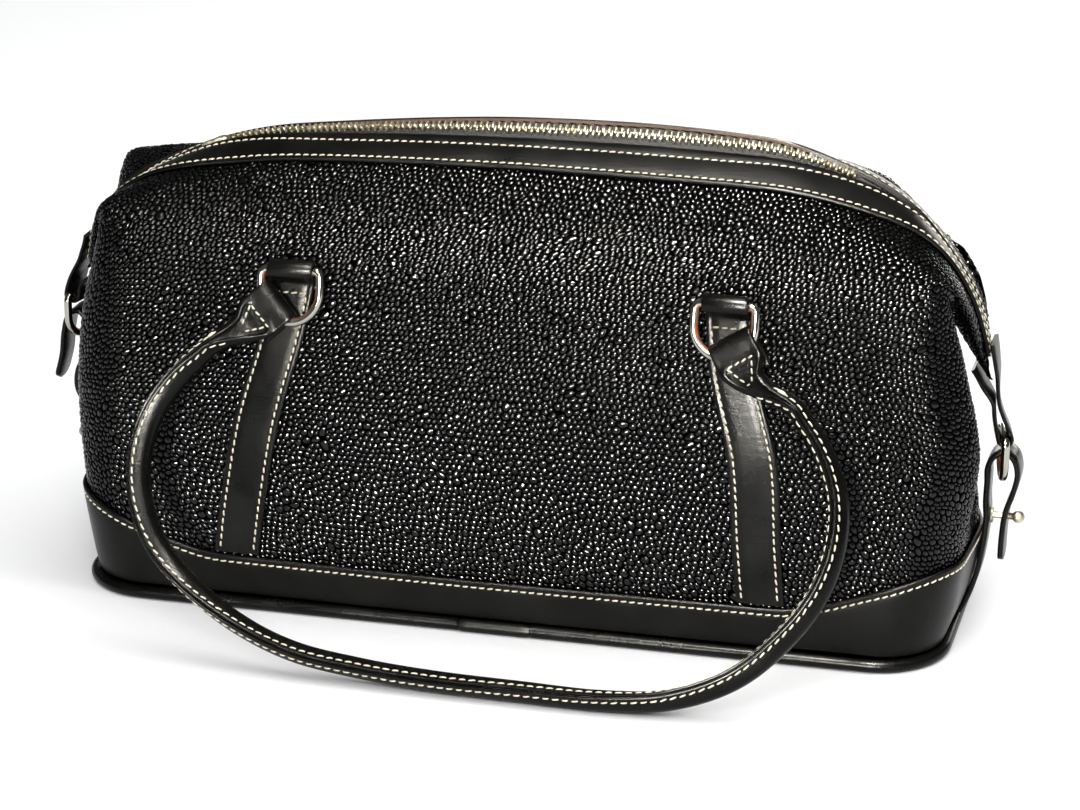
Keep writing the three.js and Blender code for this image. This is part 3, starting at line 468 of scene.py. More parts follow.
pebbled = embossedCowhide("embossedCowhide", True)
pebbledInside = embossedCowhide("embossedCowhideInside", False)
blackDye = ("#060605", "#10100e")
smooth = waxedLeather("waxedBandLeather", blackDye, (0.27, 0.42), (2, 16, 16), 0.18, 0.11)
strapLeather = waxedLeather("waxedStrapLeather", blackDye, (0.22, 0.36), (16, 16, 2), 0.35, 0.13)
glazed = waxedLeather("glazedEdgeLeather", ("#060605", "#0c0c0b"), (0.2, 0.32), (14, 14, 14), 0.12, 0.12)
suede = buffedSuede()
thread = waxedLinenThread()
tape = wovenCottonTape()
nickel = polishedNickel()
brass = tumbledBrass()
print("finishes made")

# Stitch rows: each row is a line of points with outward normals
stitch = {
    "pitch": 4.0, "length": 3.1, "uneven": (0.92, 1.05), "radius": 0.44, "flat": 0.8, "sides": 6,
    "lift": 0.26, "dive": 0.45, "slant": 8, "slantSpread": 3, "ahead": 0.4,
    "along": (-1, -0.78, -0.35, 0.35, 0.78, 1), "swell": (0.35, 0.85, 1, 1, 0.85, 0.35),
}


def stitchRow(line, outward, pitch=stitch["pitch"], thick=1.0):
    travelled = lengths(line)
    count = max(int(travelled[-1] / pitch), 1)
    at = (np.arange(count) + 0.5) * travelled[-1] / count
    centre = readAlong(at, travelled, line)
    ahead, behind = (readAlong(at + shift, travelled, line) for shift in (stitch["ahead"], -stitch["ahead"]))
    along = unit(ahead - behind)
    out = unit(readAlong(at, travelled, outward))
    out = unit(out - along * np.sum(out * along, 1)[:, None])
    side = np.cross(out, along)
    lean = np.radians(stitch["slant"] + chance.normal(0, stitch["slantSpread"], count))[:, None]
    along, side = along * np.cos(lean) + side * np.sin(lean), side * np.cos(lean) - along * np.sin(lean)
    share = np.array(stitch["along"])
    swell = np.array(stitch["swell"])[:, None] * stitch["radius"] * thick
    height = stitch["lift"] - stitch["dive"] * share ** 4
    half = stitch["length"] / 2 * (pitch / stitch["pitch"]) * chance.uniform(*stitch["uneven"], count)
    turn = roundTurn(stitch["sides"])
    spine = centre[:, None] + along[:, None] * (share * half[:, None])[..., None]
    spine = spine + out[:, None] * height[:, None]
    wide = (swell * np.cos(turn))[..., None]
    tall = (swell * stitch["flat"] * np.sin(turn))[..., None]
    rings = spine[:, :, None] + side[:, None, None] * wide + out[:, None, None] * tall
    single = loft(rings[0])[1]
    corners = rings[0].size // 3
    shapes = [[corner + corners * k for corner in shape] for k in range(count) for shape in single]
    return rings.reshape(-1, 3), shapes, 0


# Body panels: a plain leather ground with its inner face, and a sheet of pebbles over all that shows
panel = {"columns": (-1, -0.6, 0.6, 1), "counts": (40, 56, 40), "levels": 57, "ground": 0.7}
# The sway slants the rows of pebbles, and is counted in pitches
grain = {"pitch": pebblePitch, "girth": 541, "rise": 0.82, "jitter": 0.24, "merged": 0.04, "ring": 0.64,
         "ringDrop": 0.42, "ringHeight": 0.8, "uneven": (-0.1, 0.22), "tilt": 0.08,
         "overlap": 2.5, "tuck": 0.12, "sway": 7, "swayRun": 90, "swayTurn": 30}
bandEdge = {"foot": 7.3, "front": 27.5, "end": 49, "start": 0.5, "full": 0.8}


def bandTop(station):
    rise = easeBetween(bandEdge["start"], bandEdge["full"], np.abs(station))
    return bandEdge["front"] + (bandEdge["end"] - bandEdge["front"]) * rise


# The bindings narrow towards the ends
def bindingFoot(face, station):
    narrow = bindingNarrow[face]
    return bindingLevel + narrow["rise"] * easeBetween(narrow["start"], narrow["full"], np.abs(station))


def bodyStations(refine=1):
    parts = [np.linspace(a, b, count * refine + 1)
             for a, b, count in zip(panel["columns"], panel["columns"][1:], panel["counts"])]
    return np.unique(np.concatenate(parts).round(9))


# The ground's inner face takes the second finish
def groundLeaf(face):
    station = bodyStations()
    level = np.linspace(0, ridgeLevel, panel["levels"])
    outer = skin(face, station[:, None], level[None, :], -panel["ground"])[0]
    inner = skin(face, station[:, None], level[None, :], -leather["panel"])[0]
    points, shapes = loft(np.concatenate([outer, inner[:, ::-1]], 1))
    columns, rows = outer.shape[:2]
    caps = []
    for start in (0, (columns - 1) * 2 * rows):
        for j in range(rows - 1):
            caps.append([start + j, start + j + 1, start + 2 * rows - 2 - j, start + 2 * rows - 1 - j])
    inside = [int(rows <= k % (2 * rows) < 2 * rows - 1) for k in range(len(shapes) - 2)]
    return points, shapes[:-2] + caps, inside + [0] * len(caps)


# Level of each station by the share of its length up from the base
def levelTable(face):
    station = np.linspace(-1, 1, 241)
    level = np.linspace(0, ridgeLevel, 211)
    grid = bareSkin(face, np.repeat(station, len(level)), np.tile(level, len(station)))
    steps = np.linalg.norm(np.diff(grid.reshape(len(station), len(level), 3), axis=1), axis=2)
    rise = np.concatenate([np.zeros((len(station), 1)), np.cumsum(steps, 1)], 1)
    share = np.linspace(0, 1, 301)
    table = np.stack([np.interp(share, row / row[-1], level) for row in rise])
    return table, rise[:, -1].mean()


def lookUp(table, station, share):
    a = np.clip((station + 1) / 2, 0, 1) * (table.shape[0] - 1)
    b = np.clip(share, 0, 1) * (table.shape[1] - 1)
    i = np.minimum(a.astype(int), table.shape[0] - 2)
    j = np.minimum(b.astype(int), table.shape[1] - 2)
    u, v = a - i, b - j
    low = table[i, j] * (1 - u) + table[i + 1, j] * u
    high = table[i, j + 1] * (1 - u) + table[i + 1, j + 1] * u
    return low * (1 - v) + high * v


# Pebbles are the cells round seeds set unevenly over the leather: a low rim, a raised ring and a middle
def pebbleSheets(face):
    table, climb = levelTable(face)
    columns = grain["girth"] / grain["pitch"]
    rowStep = math.sqrt(0.75)
    rows = climb / grain["pitch"] / rowStep
    spare = 3 + grain["sway"]
    j, i = np.mgrid[-2:int(rows) + 3, -spare:int(columns) + spare]
    kept = chance.random(i.size) > grain["merged"]
    x = (i + 0.5 * (j % 2) + chance.normal(0, grain["jitter"], i.shape)).ravel()[kept]
    y = (j + chance.normal(0, grain["jitter"], i.shape)).ravel()[kept] * rowStep
    seeds, _, net, *_ = delaunay_2d_cdt([Vector(seed) for seed in zip(x, y)], [], [], 0, 1e-6)
    seeds = np.array(seeds)
    lean = (seeds[:, 1] - grain["swayTurn"]) / grain["swayRun"] * 2 * math.pi
    seeds[:, 0] -= grain["sway"] * np.cos(lean)
    net = np.array(net)
    corners = seeds[net].mean(1)
    owner = net.ravel()
    corner = np.repeat(np.arange(len(net)), 3)
    turn = np.arctan2(*(corners[corner] - seeds[owner]).T[::-1])
    order = np.lexsort((turn, owner))
    corner = corner[order]
    sides = np.bincount(owner, minlength=len(seeds))
    first = np.cumsum(sides) - sides

    def onBody(spots):
        return np.clip(spots[:, 0] / columns * 2 - 1, -1, 1), (spots[:, 1] / rowStep + 0.5) / rows

    station, share = onBody(seeds)
    level = lookUp(table, station, share)
    inside = level > levelAtZ(face, station, bandTop(station) - grain["overlap"])
    inside &= level < bindingFoot(face, station) + grain["tuck"]
    inside &= (seeds[:, 0] > 0) & (seeds[:, 0] < columns)
    sheets = []
    for hand in hands:
        chosen = inside & ((station < 0) if hand == "left" else (station >= 0))
        cells = [corner[first[group][:, None] + np.arange(count)] for count in np.unique(sides[chosen])
                 for group in [np.flatnonzero(chosen & (sides == count))]]
        used = np.unique(np.concatenate([rim.ravel() for rim in cells]))
        spots, off, height = [corners[used]], [np.full(len(used), -grain["rise"])], [np.zeros(len(used))]
        quads, fans = [], []
        total = len(used)
        for rim in cells:
            middle = corners[rim].mean(1)
            spread = corners[rim] - middle[:, None]
            top = -grain["rise"] * chance.uniform(*grain["uneven"], len(rim))
            tilt = chance.normal(0, grain["tilt"], (len(rim), 1, 2))
            slope = (tilt * spread).sum(2) * grain["pitch"]
            spots += [(middle[:, None] + spread * grain["ring"]).reshape(-1, 2), middle]
            off += [(top[:, None] - grain["rise"] * grain["ringDrop"] + slope).ravel(), top]
            height += [np.full(rim.size, grain["ringHeight"]), np.ones(len(rim))]
            rim = np.searchsorted(used, rim)
            ring = total + np.arange(rim.size).reshape(rim.shape)
            cap = np.broadcast_to(total + rim.size + np.arange(len(rim))[:, None], rim.shape)
            total += rim.size + len(rim)
            quads.append(np.stack([rim, np.roll(rim, -1, 1), np.roll(ring, -1, 1), ring], -1).reshape(-1, 4))
            fans.append(np.stack([ring, np.roll(ring, -1, 1), cap], -1).reshape(-1, 3))
        station2, share2 = onBody(np.vstack(spots))
        points = skin(face, station2, lookUp(table, station2, share2), np.concatenate(off))[0]
        quads, fans = np.vstack(quads), np.vstack(fans)
        if face == "back":
            quads, fans = quads[:, ::-1], fans[:, ::-1]
        sheets.append((hand, points, quads, fans, np.concatenate(height)))
    return sheets


def sheetMesh(name, points, quads, fans, height):
    mesh = bpy.data.meshes.new(name)
    corners = np.concatenate([quads.ravel(), fans.ravel()])
    sizes = np.concatenate([np.full(len(quads), 4), np.full(len(fans), 3)])
    mesh.vertices.add(len(points))
    mesh.loops.add(len(corners))
    mesh.polygons.add(len(sizes))
    mesh.vertices.foreach_set("co", (points * mm).ravel())
    mesh.loops.foreach_set("vertex_index", corners)
    mesh.polygons.foreach_set("loop_start", np.concatenate([[0], np.cumsum(sizes)[:-1]]))
    mesh.polygons.foreach_set("use_smooth", np.ones(len(sizes), bool))
    mesh.attributes.new("grainHeight", "FLOAT", "POINT").data.foreach_set("value", height.astype(np.float32))
    mesh.update(calc_edges=True)
    mesh.validate()
    return mesh


for face in faces:
    name = f"{face}_panel"
    makePiece(name, [groundLeaf(face)], [pebbled, pebbledInside], [name])
    for hand, *sheet in pebbleSheets(face):
        name = f"{face}_pebbles_{hand}"
        linkPiece(name, sheetMesh(name, *sheet), [pebbled], ())
        print(name, 2 * len(sheet[1]) + len(sheet[2]), "triangles")

# Smooth band round the foot: share of its height, shift in mm, stand-off; a groove takes its stitches
band = {
    "share": (0, 0, 0.2, 0.45, 0.7, 1, 1, 1, 1, 1, 1, 1, 1, 0.5, 0),
    "shift": (0, 0.5, 0, 0, 0, -5, -3.9, -3.1, -2.3, -0.7, -0.2, 0, 0, 0, 0),
    "off": (0.9, 1.8, 1.85, 1.85, 1.85, 1.85, 1.72, 1.5, 1.72, 1.8, 1.55, 1.1, 0.4, 0, 0),
    "stitchDown": 3.1, "stitchOff": 1.5,
}
stitching = {"body": [], "strip": [], "handle": []}
for face in faces:
    station = bodyStations()[:, None]
    height = bandTop(station) - bandEdge["foot"]
    z = bandEdge["foot"] + height * np.array(band["share"]) + np.array(band["shift"])
    rings = skin(face, station, levelAtZ(face, station, z), leather["layOff"] + np.array(band["off"]))[0]
    loftPiece(f"base_band_{face}", rings, smooth)
    line = bodyStations(2)
    level = levelAtZ(face, line, bandTop(line) - band["stitchDown"])
    stitching["body"].append(stitchRow(*skin(face, line, level, leather["layOff"] + band["stitchOff"])))
print("base band made")

# Bindings along both ridge edges: share of the width, stand-off; raw suede shows on the ridge edge
binding = {
    "share": (0, 0, 0.03, 0.09, 0.14, 0.19, 0.45, 0.66, 0.71, 0.76, 0.95, 1, 1, 1, 0.5),
    "off": (0, 0.9, 1.4, 1.5, 1.25, 1.5, 1.55, 1.5, 1.25, 1.5, 1.4, 0.9, 0, -2.2, 0),
    "shifted": (0, 0, 0, 0, 0, 0, 0.5, 1, 1, 1, 0.2, 0, 0, 0, 0),
    "rowShift": 0.15, "shiftStart": 0.3, "shiftFull": 0.65,
    "rawRow": 12, "rawRun": (-0.4, 0.5), "rows": (0.14, 0.71), "rowOff": 1.25, "reach": 0.965,
    "rowReach": {"front": (0.965, 0.965), "back": (0.46, 0.965)},
}


# The row nearer the ridge moves closer to it towards the ends
def bindingRise(face, station, share, shifted):
    foot = bindingFoot(face, station)
    shift = binding["rowShift"] * easeBetween(binding["shiftStart"], binding["shiftFull"], np.abs(station))
    return foot + (ridgeLevel - foot) * (share + shift * shifted)


for face in faces:
    station = bodyStations()
    station = station[np.abs(station) < binding["reach"]][:, None]
    level = bindingRise(face, station, np.array(binding["share"]), np.array(binding["shifted"]))
    rings = skin(face, station, level, leather["layOff"] + np.array(binding["off"]))[0]
    points, shapes = loft(rings)
    rawStart, rawEnd = binding["rawRun"]
    raw = np.zeros((len(rings) - 1, rings.shape[1]), int)
    raw[(station[1:, 0] > rawStart) & (station[1:, 0] < rawEnd), binding["rawRow"]] = 1
    marks = [*raw.ravel().tolist(), 0, 0]
    name = f"binding_{face}"
    makePiece(name, [(points, shapes, marks)], [smooth, suede], [name])
    for row, reach in enumerate(binding["rowReach"][face]):
        line = np.linspace(-reach, reach, 400)
        level = bindingRise(face, line, binding["rows"][row], row)
        stitching["body"].append(stitchRow(*skin(face, line, level, leather["layOff"] + binding["rowOff"])))
print("bindings made")

# Zip: cotton tape, teeth in two interleaved rows and the slider at the closed end
zipper = {"start": -0.56, "end": 0.575, "step": 0.005, "tapeRun": 0.625, "tapeThick": 1, "edgeClear": 1.3,
          "least": 0.8, "pitch": 2.95, "toothReach": 2.75, "toothClear": 0.45, "toothWide": 1.15,
          "toothTall": 2.2,
          "sliderStart": -0.61, "sliderStop": -0.5615, "sliderWide": 5, "sliderTall": 3, "sliderClear": 0.6,
          "tapeCorners": ((-1, 0.5), (-0.3, 0.5), (0.3, 0.5), (1, 0.5), (1, -0.5), (-1, -0.5)),
          # Down each tooth from its head to its foot: share of its reach, thickness and depth
          "toothRows": ((-0.3, 0.3, 0.55), (-0.24, 0.5, 0.8), (-0.02, 0.62, 1), (0.18, 0.45, 0.9),
                        (0.34, 0.5, 0.95), (0.9, 0.5, 1), (1, 0.4, 0.85)),
          # Along the slider: share of its width and of its height
          "sliderRows": ((0.62, 0.6), (0.8, 0.8), (0.92, 0.85), (1, 0.8), (1, 0.8), (1, 0.95), (0.96, 1),
                         (0.88, 0.9), (0.7, 0.6))}


def zipFrames(station):
    frontEdge, backEdge = (skin(face, station, ridgeLevel, -leather["panel"] / 2)[0] for face in faces)
    across = backEdge - frontEdge
    half = np.linalg.norm(across, axis=1) / 2
    step = zipper["step"]
    ahead = skin("front", station + step, ridgeLevel)[0] - skin("front", station - step, ridgeLevel)[0]
    up = unit(np.cross(unit(ahead), unit(across)))
    return (frontEdge + backEdge) / 2, unit(across), up, half


def squareRing(sides, power):
    turn = roundTurn(sides, 0.5)
    wide, tall = np.cos(turn), np.sin(turn)
    return np.sign(wide) * np.abs(wide) ** (2 / power), np.sign(tall) * np.abs(tall) ** (2 / power)


centre, across, up, half = zipFrames(np.linspace(-zipper["tapeRun"], zipper["tapeRun"], 120))
reach = np.maximum(half - zipper["edgeClear"], zipper["least"])
wide, tall = np.array(zipper["tapeCorners"]).T
wide = wide * reach[:, None]
tall = tall * zipper["tapeThick"]
loftPiece("zip_tape", ringsRound(centre, across, up, wide, tall), tape)

line = np.linspace(zipper["start"], zipper["end"], 800)
travelled = lengths(zipFrames(line)[0])
teeth = int(travelled[-1] / zipper["pitch"] * 2)
toothStations = np.interp((np.arange(teeth) + 0.5) * travelled[-1] / teeth, travelled, line)
centre, across, up, half = zipFrames(toothStations)
along = np.cross(across, up)
side = np.where(np.arange(teeth) % 2, 1.0, -1.0)
reach = side * np.minimum(half - zipper["toothClear"], zipper["toothReach"])
middle = centre + up * (zipper["tapeThick"] / 2 + leather["layOff"] + zipper["toothTall"] / 2)
wide, tall = squareRing(8, 4)
share, thick, deep = np.array(zipper["toothRows"]).T[..., None]
wide = wide * thick * zipper["toothWide"]
tall = tall * deep * zipper["toothTall"] / 2
teethParts = []
for k in range(teeth):
    rings = ringsRound(middle[k] + across[k] * reach[k] * share, along[k:k + 1], up[k:k + 1], wide, tall)
    teethParts.append((*loft(rings), 0))
makePiece("zip_teeth", teethParts, [brass], ["zip_chain"])

widths, heights = np.array(zipper["sliderRows"]).T
station = np.linspace(zipper["sliderStart"], zipper["sliderStop"], len(widths))
centre, across, up, half = zipFrames(station)
wide, tall = squareRing(16, 4)
width = np.minimum(zipper["sliderWide"] / 2, half - zipper["sliderClear"]) * widths
height = zipper["sliderTall"] / 2 * heights
middle = centre + up * (zipper["tapeThick"] / 2 + leather["layOff"] + zipper["sliderTall"] / 2)
rings = ringsRound(middle, across, up, width[:, None] * wide, height[:, None] * tall)
loftPiece("zip_slider", rings, brass)
print("zip made:", teeth, "teeth")

# Base piping: a corded welt with its sleeve over the join
piping = {"radius": 3, "mostTall": 3.1, "lift": 3.2, "outset": 4.25, "cornerSteps": 18, "sides": 14,
          "sleeve": 35, "sleeveOut": 0.5, "sleeveClear": 0.3,
          "sleeveSwell": (0.86, 1, 1.02, *(1,) * 9, 1.02, 1, 0.86)}


def baseLine(out):
    halfLength, depth, corner = wall["left"][0], wall["halfDepth"][0], wall["corner"][0]
    run = []
    for quarter, (sx, sy) in enumerate(((1, -1), (1, 1), (-1, 1), (-1, -1))):
        turn = -math.pi / 2 + (quarter + np.linspace(0, 1, piping["cornerSteps"])) * math.pi / 2
        run.append(np.stack([sx * (halfLength - corner) + (corner + out) * np.cos(turn),
                             sy * (depth - corner) + (corner + out) * np.sin(turn)], 1))
    return np.vstack(run)


def weltRings(run, radii):
    ahead = np.gradient(run, axis=0)
    side = unit(np.stack([ahead[:, 1], -ahead[:, 0]], 1))
    turn = roundTurn(piping["sides"], 0.5)
    radii = np.broadcast_to(radii, len(run))[:, None]
    flat = run[:, None] + side[:, None] * (radii * np.cos(turn))[..., None]
    z = piping["lift"] + np.minimum(radii, piping["mostTall"]) * np.sin(turn)
    return np.concatenate([flat, z[..., None]], -1)


sleeveEnd = piping["sleeve"] / 2
joinX = sleeveEnd + piping["sleeveClear"]
frontY = -wall["halfDepth"][0] - piping["outset"]
welt = np.vstack([[[joinX, frontY]], baseLine(piping["outset"]), [[-joinX, frontY]]])
loftPiece("base_piping", weltRings(resample(welt, 360), piping["radius"]), glazed)
sleeveSize = piping["radius"] * np.array(piping["sleeveSwell"])
sleeveX = np.linspace(-sleeveEnd, sleeveEnd, len(sleeveSize))
sleeveRun = np.stack([sleeveX, np.full_like(sleeveX, frontY - piping["sleeveOut"])], 1)
loftPiece("piping_sleeve", weltRings(sleeveRun, sleeveSize), smooth)
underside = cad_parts["base_panel"]
underside.data.materials.clear()
underside.data.materials.append(smooth)
print("base made")

# Strips up each face, folded forward over the ring bars; the section has two stitch grooves and rounded edges
strip = {
    "width": 22, "footX": 127.4, "footLevel": 1, "topX": {"left": -99, "right": 107}, "barLevel": 4.78,
    "search": 0.7, "probe": {"station": 0.02, "level": 0.2}, "footClear": 2.2,
    "flatEnd": -9, "liftStart": -5, "liftEnd": -2, "ease": 0.35, "curl": 230,
    "across": (-1, -0.985, -0.92, -0.82, -0.75, -0.68, -0.35, 0, 0.35, 0.68, 0.75, 0.82, 0.92, 0.985, 1,
               0.985, 0.9, 0, -0.9, -0.985),
    "amount": (0, 0.6, 0.95, 1, 0.72, 1, 1.05, 1.05, 1.05, 1, 0.72, 1, 0.95, 0.6, 0, -0.6, -1, -1, -1, -0.6),
    "grooves": (-0.75, 0.75), "grooveDeep": 0.28, "rowStart": 2, "boxTop": -11, "boxRow": -10,
}
ringSize = {"width": 25, "wire": 2, "clear": 0.3, "drop": 10, "standOff": 8.4, "corner": 3}
loopRadius = ringSize["wire"] + ringSize["clear"] + leather["strip"] / 2


def onePoint(face, station, level):
    return bareSkin(face, np.array([station]), np.array([level]))[0]


# Where a strip crosses its ring's bar, its lean, and millimetres to a level and to a station there
def stripFrame(face, hand):
    level = strip["barLevel"]
    search, foot = strip["search"], strip["footLevel"]

    def stationAt(x, height):
        return float(placeWhere(lambda s: onePoint(face, float(s), height)[0], x, -search, search))

    def pace(ds, dl):
        step = onePoint(face, station + ds, level + dl) - onePoint(face, station - ds, level - dl)
        return np.linalg.norm(step) / (2 * (ds + dl))

    station = stationAt(strip["topX"][hand], level)
    lean = (stationAt(strip["footX"] * hands[hand], foot) - station) / (level - foot)
    return {"face": face, "level": level, "station": station, "lean": lean,
            "rise": pace(0, strip["probe"]["level"]), "run": pace(strip["probe"]["station"], 0)}


def onStrip(where, up, across, off):
    level = where["level"] + up / where["rise"]
    station = where["station"] + where["lean"] * (where["level"] - level) + across / where["run"]
    return skin(where["face"], station, level, off)


def stripRun(where):
    footStation = where["station"] + where["lean"] * (where["level"] - strip["footLevel"])
    footZ = bandEdge["front"] + strip["footClear"]
    footLevel = float(levelAtZ(where["face"], np.array([footStation]), np.array([footZ]))[0])
    foot = (footLevel - where["level"]) * where["rise"]
    restOff = leather["layOff"] + leather["strip"] / 2
    flat = [(up, restOff) for up in np.linspace(foot, strip["flatEnd"], 34)]
    bend = curveThrough([(strip["flatEnd"], restOff), (strip["liftStart"], restOff + strip["ease"]),
                         (strip["liftEnd"], ringSize["standOff"] - loopRadius - strip["ease"]),
                         (0, ringSize["standOff"] - loopRadius)], 10)
    turn = np.radians(np.linspace(0, strip["curl"], 26))
    curl = np.stack([loopRadius * np.sin(turn), ringSize["standOff"] - loopRadius * np.cos(turn)], 1)
    return np.vstack([flat, bend[1:], curl[1:]])


for face in faces:
    for hand in hands:
        where = stripFrame(face, hand)
        run = stripRun(where)
        ahead = unit(np.gradient(run, axis=0))
        amount = np.array(strip["amount"])
        across = np.array(strip["across"]) * strip["width"] / 2
        up = run[:, :1] - ahead[:, 1:] * amount
        off = run[:, 1:] + ahead[:, :1] * amount
        loftPiece(f"strip_{face}_{hand}", onStrip(where, up, across, off)[0], strapLeather)
        climb = np.linspace(run[0, 0] + strip["rowStart"], strip["boxTop"], 200)
        surface = leather["layOff"] + leather["strip"]
        for groove in strip["grooves"]:
            row = onStrip(where, climb, groove * strip["width"] / 2, surface - strip["grooveDeep"])
            stitching["strip"].append(stitchRow(*row))
        cross = np.linspace(*strip["grooves"], 40) * strip["width"] / 2
        stitching["strip"].append(stitchRow(*onStrip(where, strip["boxRow"], cross, surface)))
print("strips made")

# Rings of round wire with one straight bar; copper shows through along the inside
ringSteps = {"bow": 40, "corner": 8, "sides": 16}
plateWear = {"start": 0.1, "full": 0.8}


def ringLine(size):
    halfWidth = size["width"] / 2 + size["wire"]
    corner = size["corner"]
    arcs = ((0, -size["drop"], halfWidth, 180, 360, ringSteps["bow"]),
            (halfWidth - corner, -corner, corner, 0, 90, ringSteps["corner"]),
            (corner - halfWidth, -corner, corner, 90, 180, ringSteps["corner"]))
    run = []
    for x, y, radius, start, end, count in arcs:
        turn = np.radians(np.linspace(start, end, count + 1))
        run.append(np.stack([x + radius * np.cos(turn), y + radius * np.sin(turn)], 1))
    return np.vstack(run)


def makeRing(name, size, origin, across, up, normal):
    run = ringLine(size)
    ahead = unit(np.roll(run, -1, 0) - np.roll(run, 1, 0))
    side = across * ahead[:, 1:] - up * ahead[:, :1]
    centre = origin + across * run[:, :1] + up * run[:, 1:]
    turn = roundTurn(ringSteps["sides"])
    rings = ringsRound(centre, side, normal[None], size["wire"] * np.cos(turn), size["wire"] * np.sin(turn))
    piece = loftPiece(name, rings, nickel, True, 180)
    inner = easeBetween(plateWear["start"], plateWear["full"], -np.cos(turn))
    wear = piece.data.attributes.new("plateWear", "FLOAT", "POINT")
    wear.data.foreach_set("value", np.tile(inner, len(run)).astype(np.float32))


def ringFrame(face, hand):
    where = stripFrame(face, hand)
    reach = ringSize["drop"] + ringSize["width"] / 2
    spots = np.array([(0, 0), (0, 4), (0, -4), (-reach, 0)], float)
    origin, right, left, foot = onStrip(where, spots[:, 0], spots[:, 1], ringSize["standOff"])[0]
    across = unit(right - left)
    normal = unit(np.cross(across, origin - foot)) * faces[face]
    up = unit(origin - foot)
    up = unit(up - across * np.dot(up, across))
    return origin, across, up, normal


for face in faces:
    for hand in hands:
        makeRing(f"handle_ring_{face}_{hand}", ringSize, *ringFrame(face, hand))
print("handle rings made")

# Handles: a rolled tube with a stitched flange, from folded tab to folded tab, the middle on the floor
handle = {
    "path": ((-133, -82, 137), (-147, -88, 123), (-157.5, -95, 107), (-162, -104, 88), (-160, -112, 71),
             (-150.5, -120.5, 52), (-133, -128, 36), (-109, -134.5, 22), (-79, -140.5, 12.4),
             (-45, -142.5, 8), (-10, -144, 6.3), (30, -144.5, 6), (70, -144.5, 6), (100, -142.5, 9),
             (128, -137.5, 20), (148, -128, 37), (161.5, -119, 56), (167.5, -109, 77), (166, -100, 97),
             (156.5, -91, 116), (143, -84, 131)),
    "tabTurn": {"left": -138, "right": -58}, "tabHalf": 11, "tabClear": 0.45, "tabReach": 24, "tabFlat": 16,
    "foldSink": 0.5, "foldLead": 5, "lipReach": (20, 27),
    "house": ((17.6, -6.6), (17.6, 6.6), (28.5, 1.1), (28.5, -1.1), (17.6, -6.6)),
    "housePitch": 3.4, "houseFlat": 20, "houseRise": 0.035,
    "tubeSteps": 64, "ringSteps": 5, "floor": 0.15,
    "stitchPitch": 4.5, "knotRings": 3, "knotPitch": 5.5, "knotThick": 2.3,
    "facing": (0.231, -0.909, 0.345),  # the flange is set from this way, turned outwards along the handle
    "turnShare": (0, 0.05, 0.12, 0.2, 0.28, 0.38, 0.5, 0.62, 0.75, 0.86, 0.95, 1),
    "turn": (15, 45, 62, 50, 14, 4, -4, -18, -48, -36, -18, -8),
}
# Half of each section from the front middle round to the back: out along the seam, then across it
tubeHalf = [(5.2, 0), (5.2, 0.06), (5.25, 0.12), (5.35, 0.2), (5.85, 0.38), (6.15, 0.85), (5.95, 1.4),
            (5.4, 1.85), (4.9, 2.1), (4.45, 2.3), (3.9, 2.85)]
tubeHalf += [(4.9 * math.cos(math.radians(t)) - 0.75, 4.9 * math.sin(math.radians(t)))
             for t in (45, 65, 90, 115, 140, 160, 180)]
tabHalf = [(1, 0), (1, 0.15), (1, 0.3), (1, 0.45), (1, 0.58), (1, 0.68), (1, 0.76), (1, 0.83), (1, 0.89),
           (0.95, 0.94), (0.75, 0.975), (0.3, 1), (-0.3, 1), (-0.8, 0.97), (-1, 0.88), (-1, 0.6), (-1, 0.3),
           (-1, 0)]
# Where the tube's sides wrap the tab, a pair of lips closes in on its stitched middle
lipWide = [(1.1, 0), (1.1, 2.6), (1.1, 5.2), (1.15, 7.4), (2.1, 7.8), (2.45, 8.4), (2.5, 9), (2.35, 9.6),
           (2.1, 10.1), (1.7, 10.5), (1.2, 10.8), (0.4, 11), (-0.4, 10.9), (-1.2, 10.4), (-1.6, 9), (-1.7, 6),
           (-1.7, 3), (-1.7, 0)]
lipNear = [(1.5, 0), (1.5, 1.3), (1.5, 2.6), (1.6, 3.7), (3.1, 4), (3.6, 4.6), (3.6, 5.3), (3.3, 5.9),
           (3, 6.4), (2.6, 6.9), (2, 7.4), (0.8, 7.9), (-0.5, 7.9), (-1.7, 7.4), (-2.6, 6), (-3.1, 4.1),
           (-3.2, 2.1), (-3.2, 0)]
stitchCorner = 9


def wholeSection(halfSection):
    section = np.array(halfSection, float)
    return np.vstack([section, (section * (1, -1))[-2:0:-1]])


tubeSection = wholeSection(tubeHalf)
tabSection = wholeSection(tabHalf)


def placedSection(at, facing, ahead, section):
    side = unit(np.cross(facing, ahead))
    return at + facing * section[:, :1] + side * section[:, 1:]


